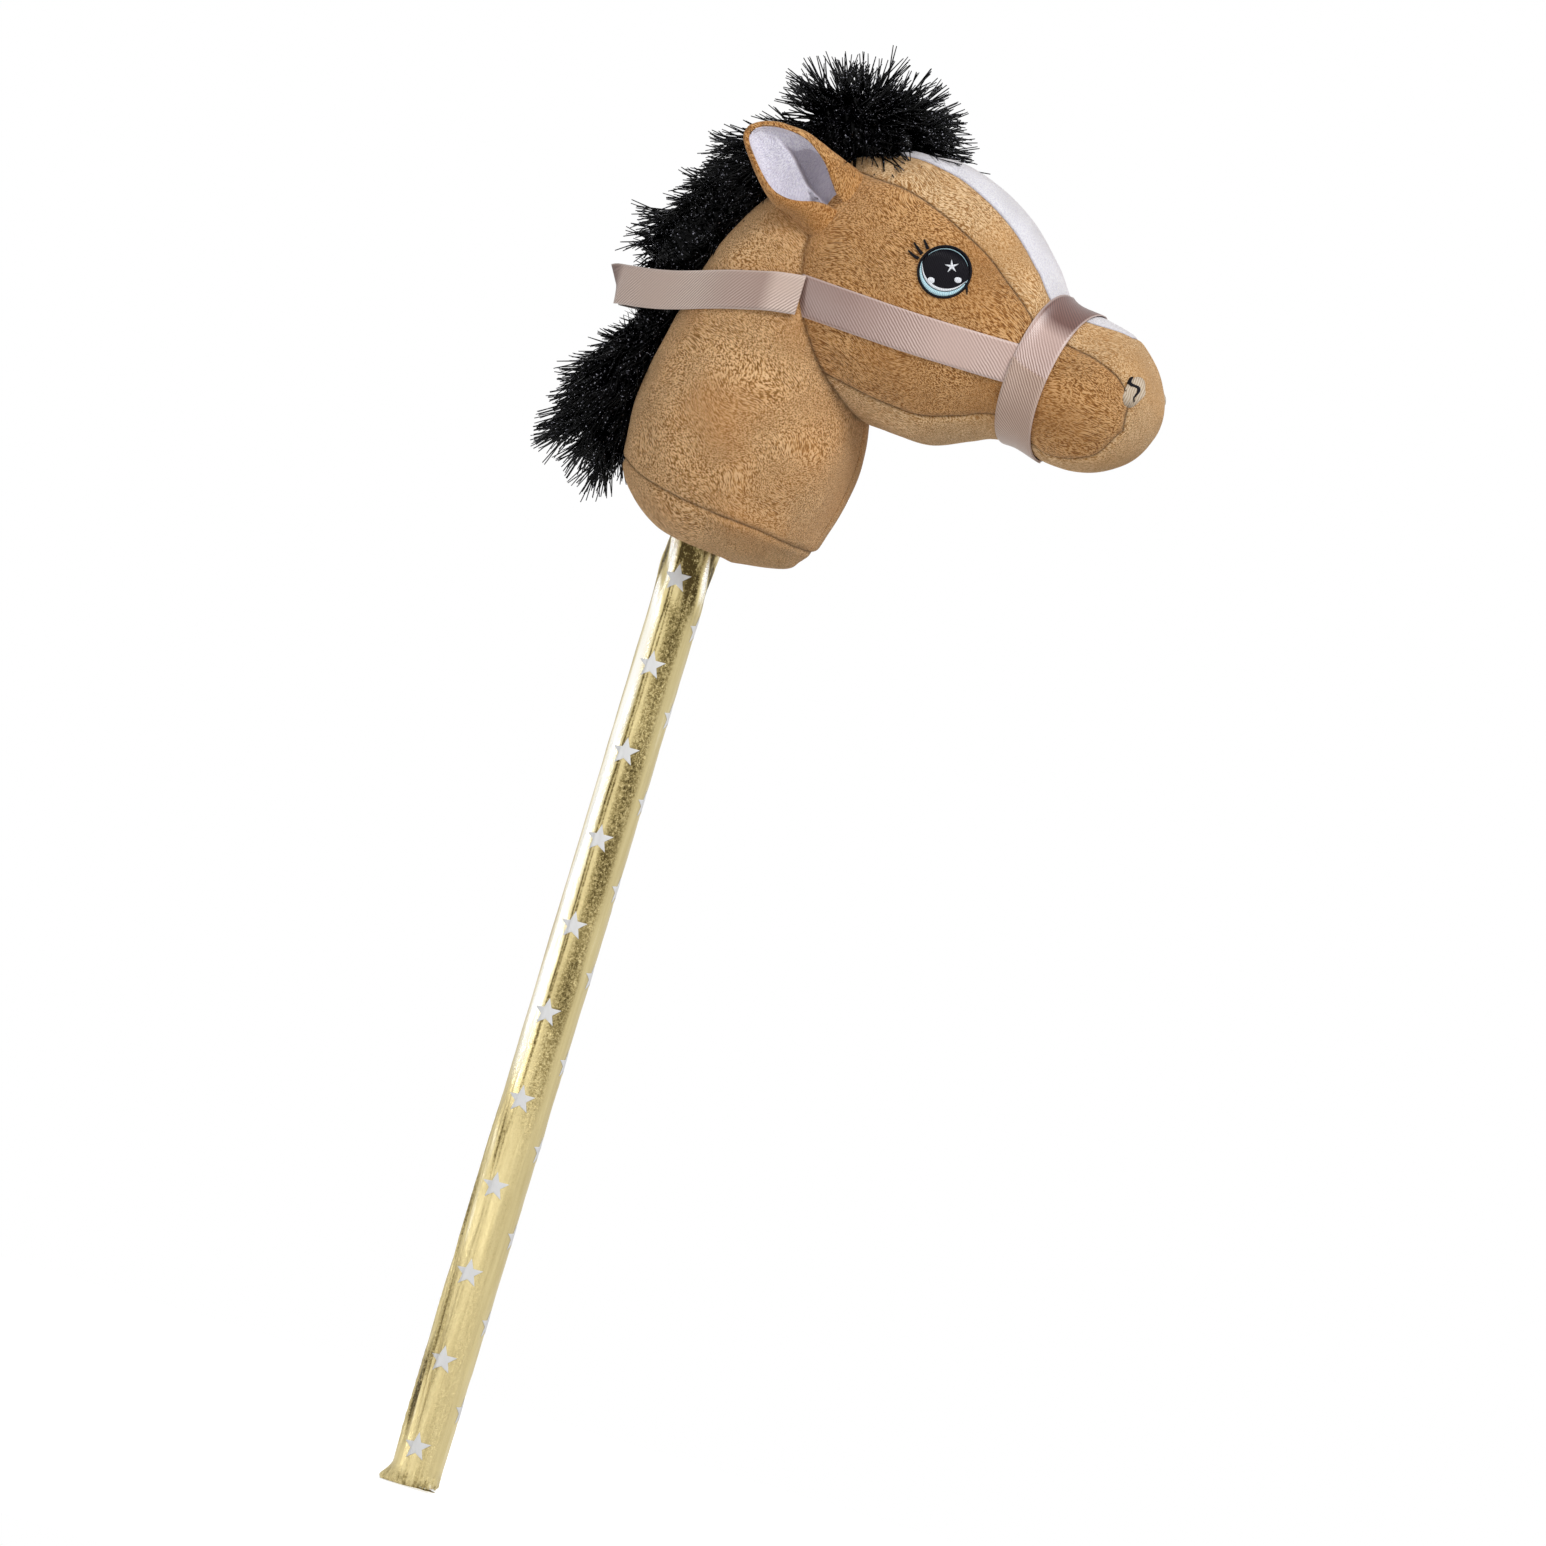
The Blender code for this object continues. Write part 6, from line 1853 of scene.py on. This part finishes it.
# %% Finish the stick and its two plastic ends
beech = plain_finish("beech_turned", [(0.3, "C39A6B"), (0.7, "E0C096")], {"Scale": 260.0, "Detail": 3.0},
                     {"Scale": 1500.0, "Detail": 2.0}, (0.4, 0.1), (0.5, 0.75), {"IOR": 1.5}, (1, 1, 0.04))
polyethylene = plain_finish("polyethylene_moulded", [(0.3, "DCDCD6"), (0.7, "EDEDE8")], {"Scale": 90.0},
                            {"Scale": 1400.0, "Detail": 2.0}, (0.3, 0.05), (0.35, 0.5),
                            {"IOR": 1.51, "Subsurface Weight": 0.1, "Subsurface Scale": 2 * MM})
for node, material in (("stick", beech), ("stick_foot_pad", polyethylene), ("stick_top_cap", polyethylene)):
    for place in bpy.data.objects[node].material_slots:
        place.material = material
    print(node, "is", material.name)

# %% [markdown]
# ## The studio
# The photo was taken with a long lens, level with the toy, about 15 degrees round towards its nose, and the
# camera was rolled so that the stick leans. One millimetre of the toy is the same length all over such a picture,
# so the camera's place comes from a few measured points. The floor and the world look plain white to the camera,
# but the world lights the toy only softly, and three large lamps shape it.

# %% Place the camera
AZIMUTH, ROLL = math.radians(15.0), math.radians(16.7)
# the photo is 1546 pixels wide, and one of them is 0.52 mm of the toy
FRAME_WIDTH = 1546 * 0.52 * MM
LENS, SENSOR = 500.0, 36.0
level = Vector((math.cos(AZIMUTH), math.sin(AZIMUTH), 0))
right = level * math.cos(ROLL) + Vector((0, 0, 1)) * math.sin(ROLL)
up = -level * math.sin(ROLL) + Vector((0, 0, 1)) * math.cos(ROLL)
back = right.cross(up)
# the spot of the toy in the middle of the picture, and how far away a lens of this length has to be
centre = level * 73.3 * MM + Vector((0, 0, 409.6 * MM))
distance = FRAME_WIDTH * LENS / SENSOR
lens_data = bpy.data.cameras.new("studio_camera")
lens_data.lens, lens_data.sensor_width = LENS, SENSOR
camera = put_in_scene("studio_camera", lens_data)
facing = Matrix((right, up, back)).transposed().to_4x4()
facing.translation = centre + back * distance
camera.matrix_world = facing
bpy.context.scene.camera = camera
print("the camera stands %.2f m away" % distance)

# %% Light the toy
def white_to_the_eye(add):
    """1 for rays that come straight from the camera or off a glossy or clear surface."""
    path = add("ShaderNodeLightPath").outputs
    seen = add("ShaderNodeMath", {0: path["Is Camera Ray"], 1: path["Is Glossy Ray"]}, operation="MAXIMUM")
    return add("ShaderNodeMath", {0: seen, 1: path["Is Transmission Ray"]}, operation="MAXIMUM")


world = bpy.data.worlds.new("studio_light")
bpy.context.scene.world = world
world.use_nodes = True
world.node_tree.nodes.clear()
add = partial(add_node, world.node_tree)
strength = add("ShaderNodeMapRange", {"Value": white_to_the_eye(add), "To Min": 0.48, "To Max": 1.0})
sky = add("ShaderNodeBackground", {"Color": (1, 1, 1, 1), "Strength": strength})
add("ShaderNodeOutputWorld", {"Surface": sky})


def add_lamp(name, place, aim, size, power):
    """Adds a round white lamp that shines at a point. Its size is in metres and its power in watts."""
    light = bpy.data.lights.new(name, "AREA")
    light.shape, light.size, light.energy = "DISK", size, power
    lamp = put_in_scene(name, light)
    lamp.location = place
    lamp.rotation_mode = "QUATERNION"
    lamp.rotation_quaternion = (aim - place).to_track_quat("-Z", "Y")


add_lamp("key_softbox", centre + back * 1.45 + right * 1.6 + up * 1.5, centre + up * 0.15, 0.8, 38.0)
add_lamp("side_softbox", centre + back * 0.9 - right * 1.9 + up * 0.1, centre, 0.6, 9.0)
add_lamp("low_softbox", centre + back * 1.6 - right * 0.3 - up * 0.15, centre - up * 0.15, 0.6, 2.5)

# %% Lay the floor
floor_mesh = bmesh.new()
bmesh.ops.create_circle(floor_mesh, cap_ends=True, segments=96, radius=1.7)
floor = put_in_scene("floor", floor_mesh)
floor.location.z = -0.5 * MM
backdrop, add = new_finish("paper_backdrop_white")
white = add("ShaderNodeBsdfDiffuse", {"Color": colour("D2D2D2")})
glow = add("ShaderNodeMath", {0: white_to_the_eye(add), 1: 0.72}, operation="MULTIPLY")
shine = add("ShaderNodeEmission", {"Strength": glow})
both = add("ShaderNodeAddShader", {0: white, 1: shine})
add("ShaderNodeOutputMaterial", {"Surface": both})
floor.data.materials.append(backdrop)
floor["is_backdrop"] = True
bpy.context.scene.view_settings.view_transform = "Standard"
print("floor laid")

# %% [markdown]
# ## The two boxes
# The dressed toy has to stay inside the box of the solids, apart from a little that cloth and fur may stand proud.
# The boxes of both are printed.

# %% Print both boxes
dressed_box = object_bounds()
for word, low, high in (("solids", *solid_box), ("dressed", *dressed_box)):
    print(word, [round(value / MM, 1) for value in low], [round(value / MM, 1) for value in high])
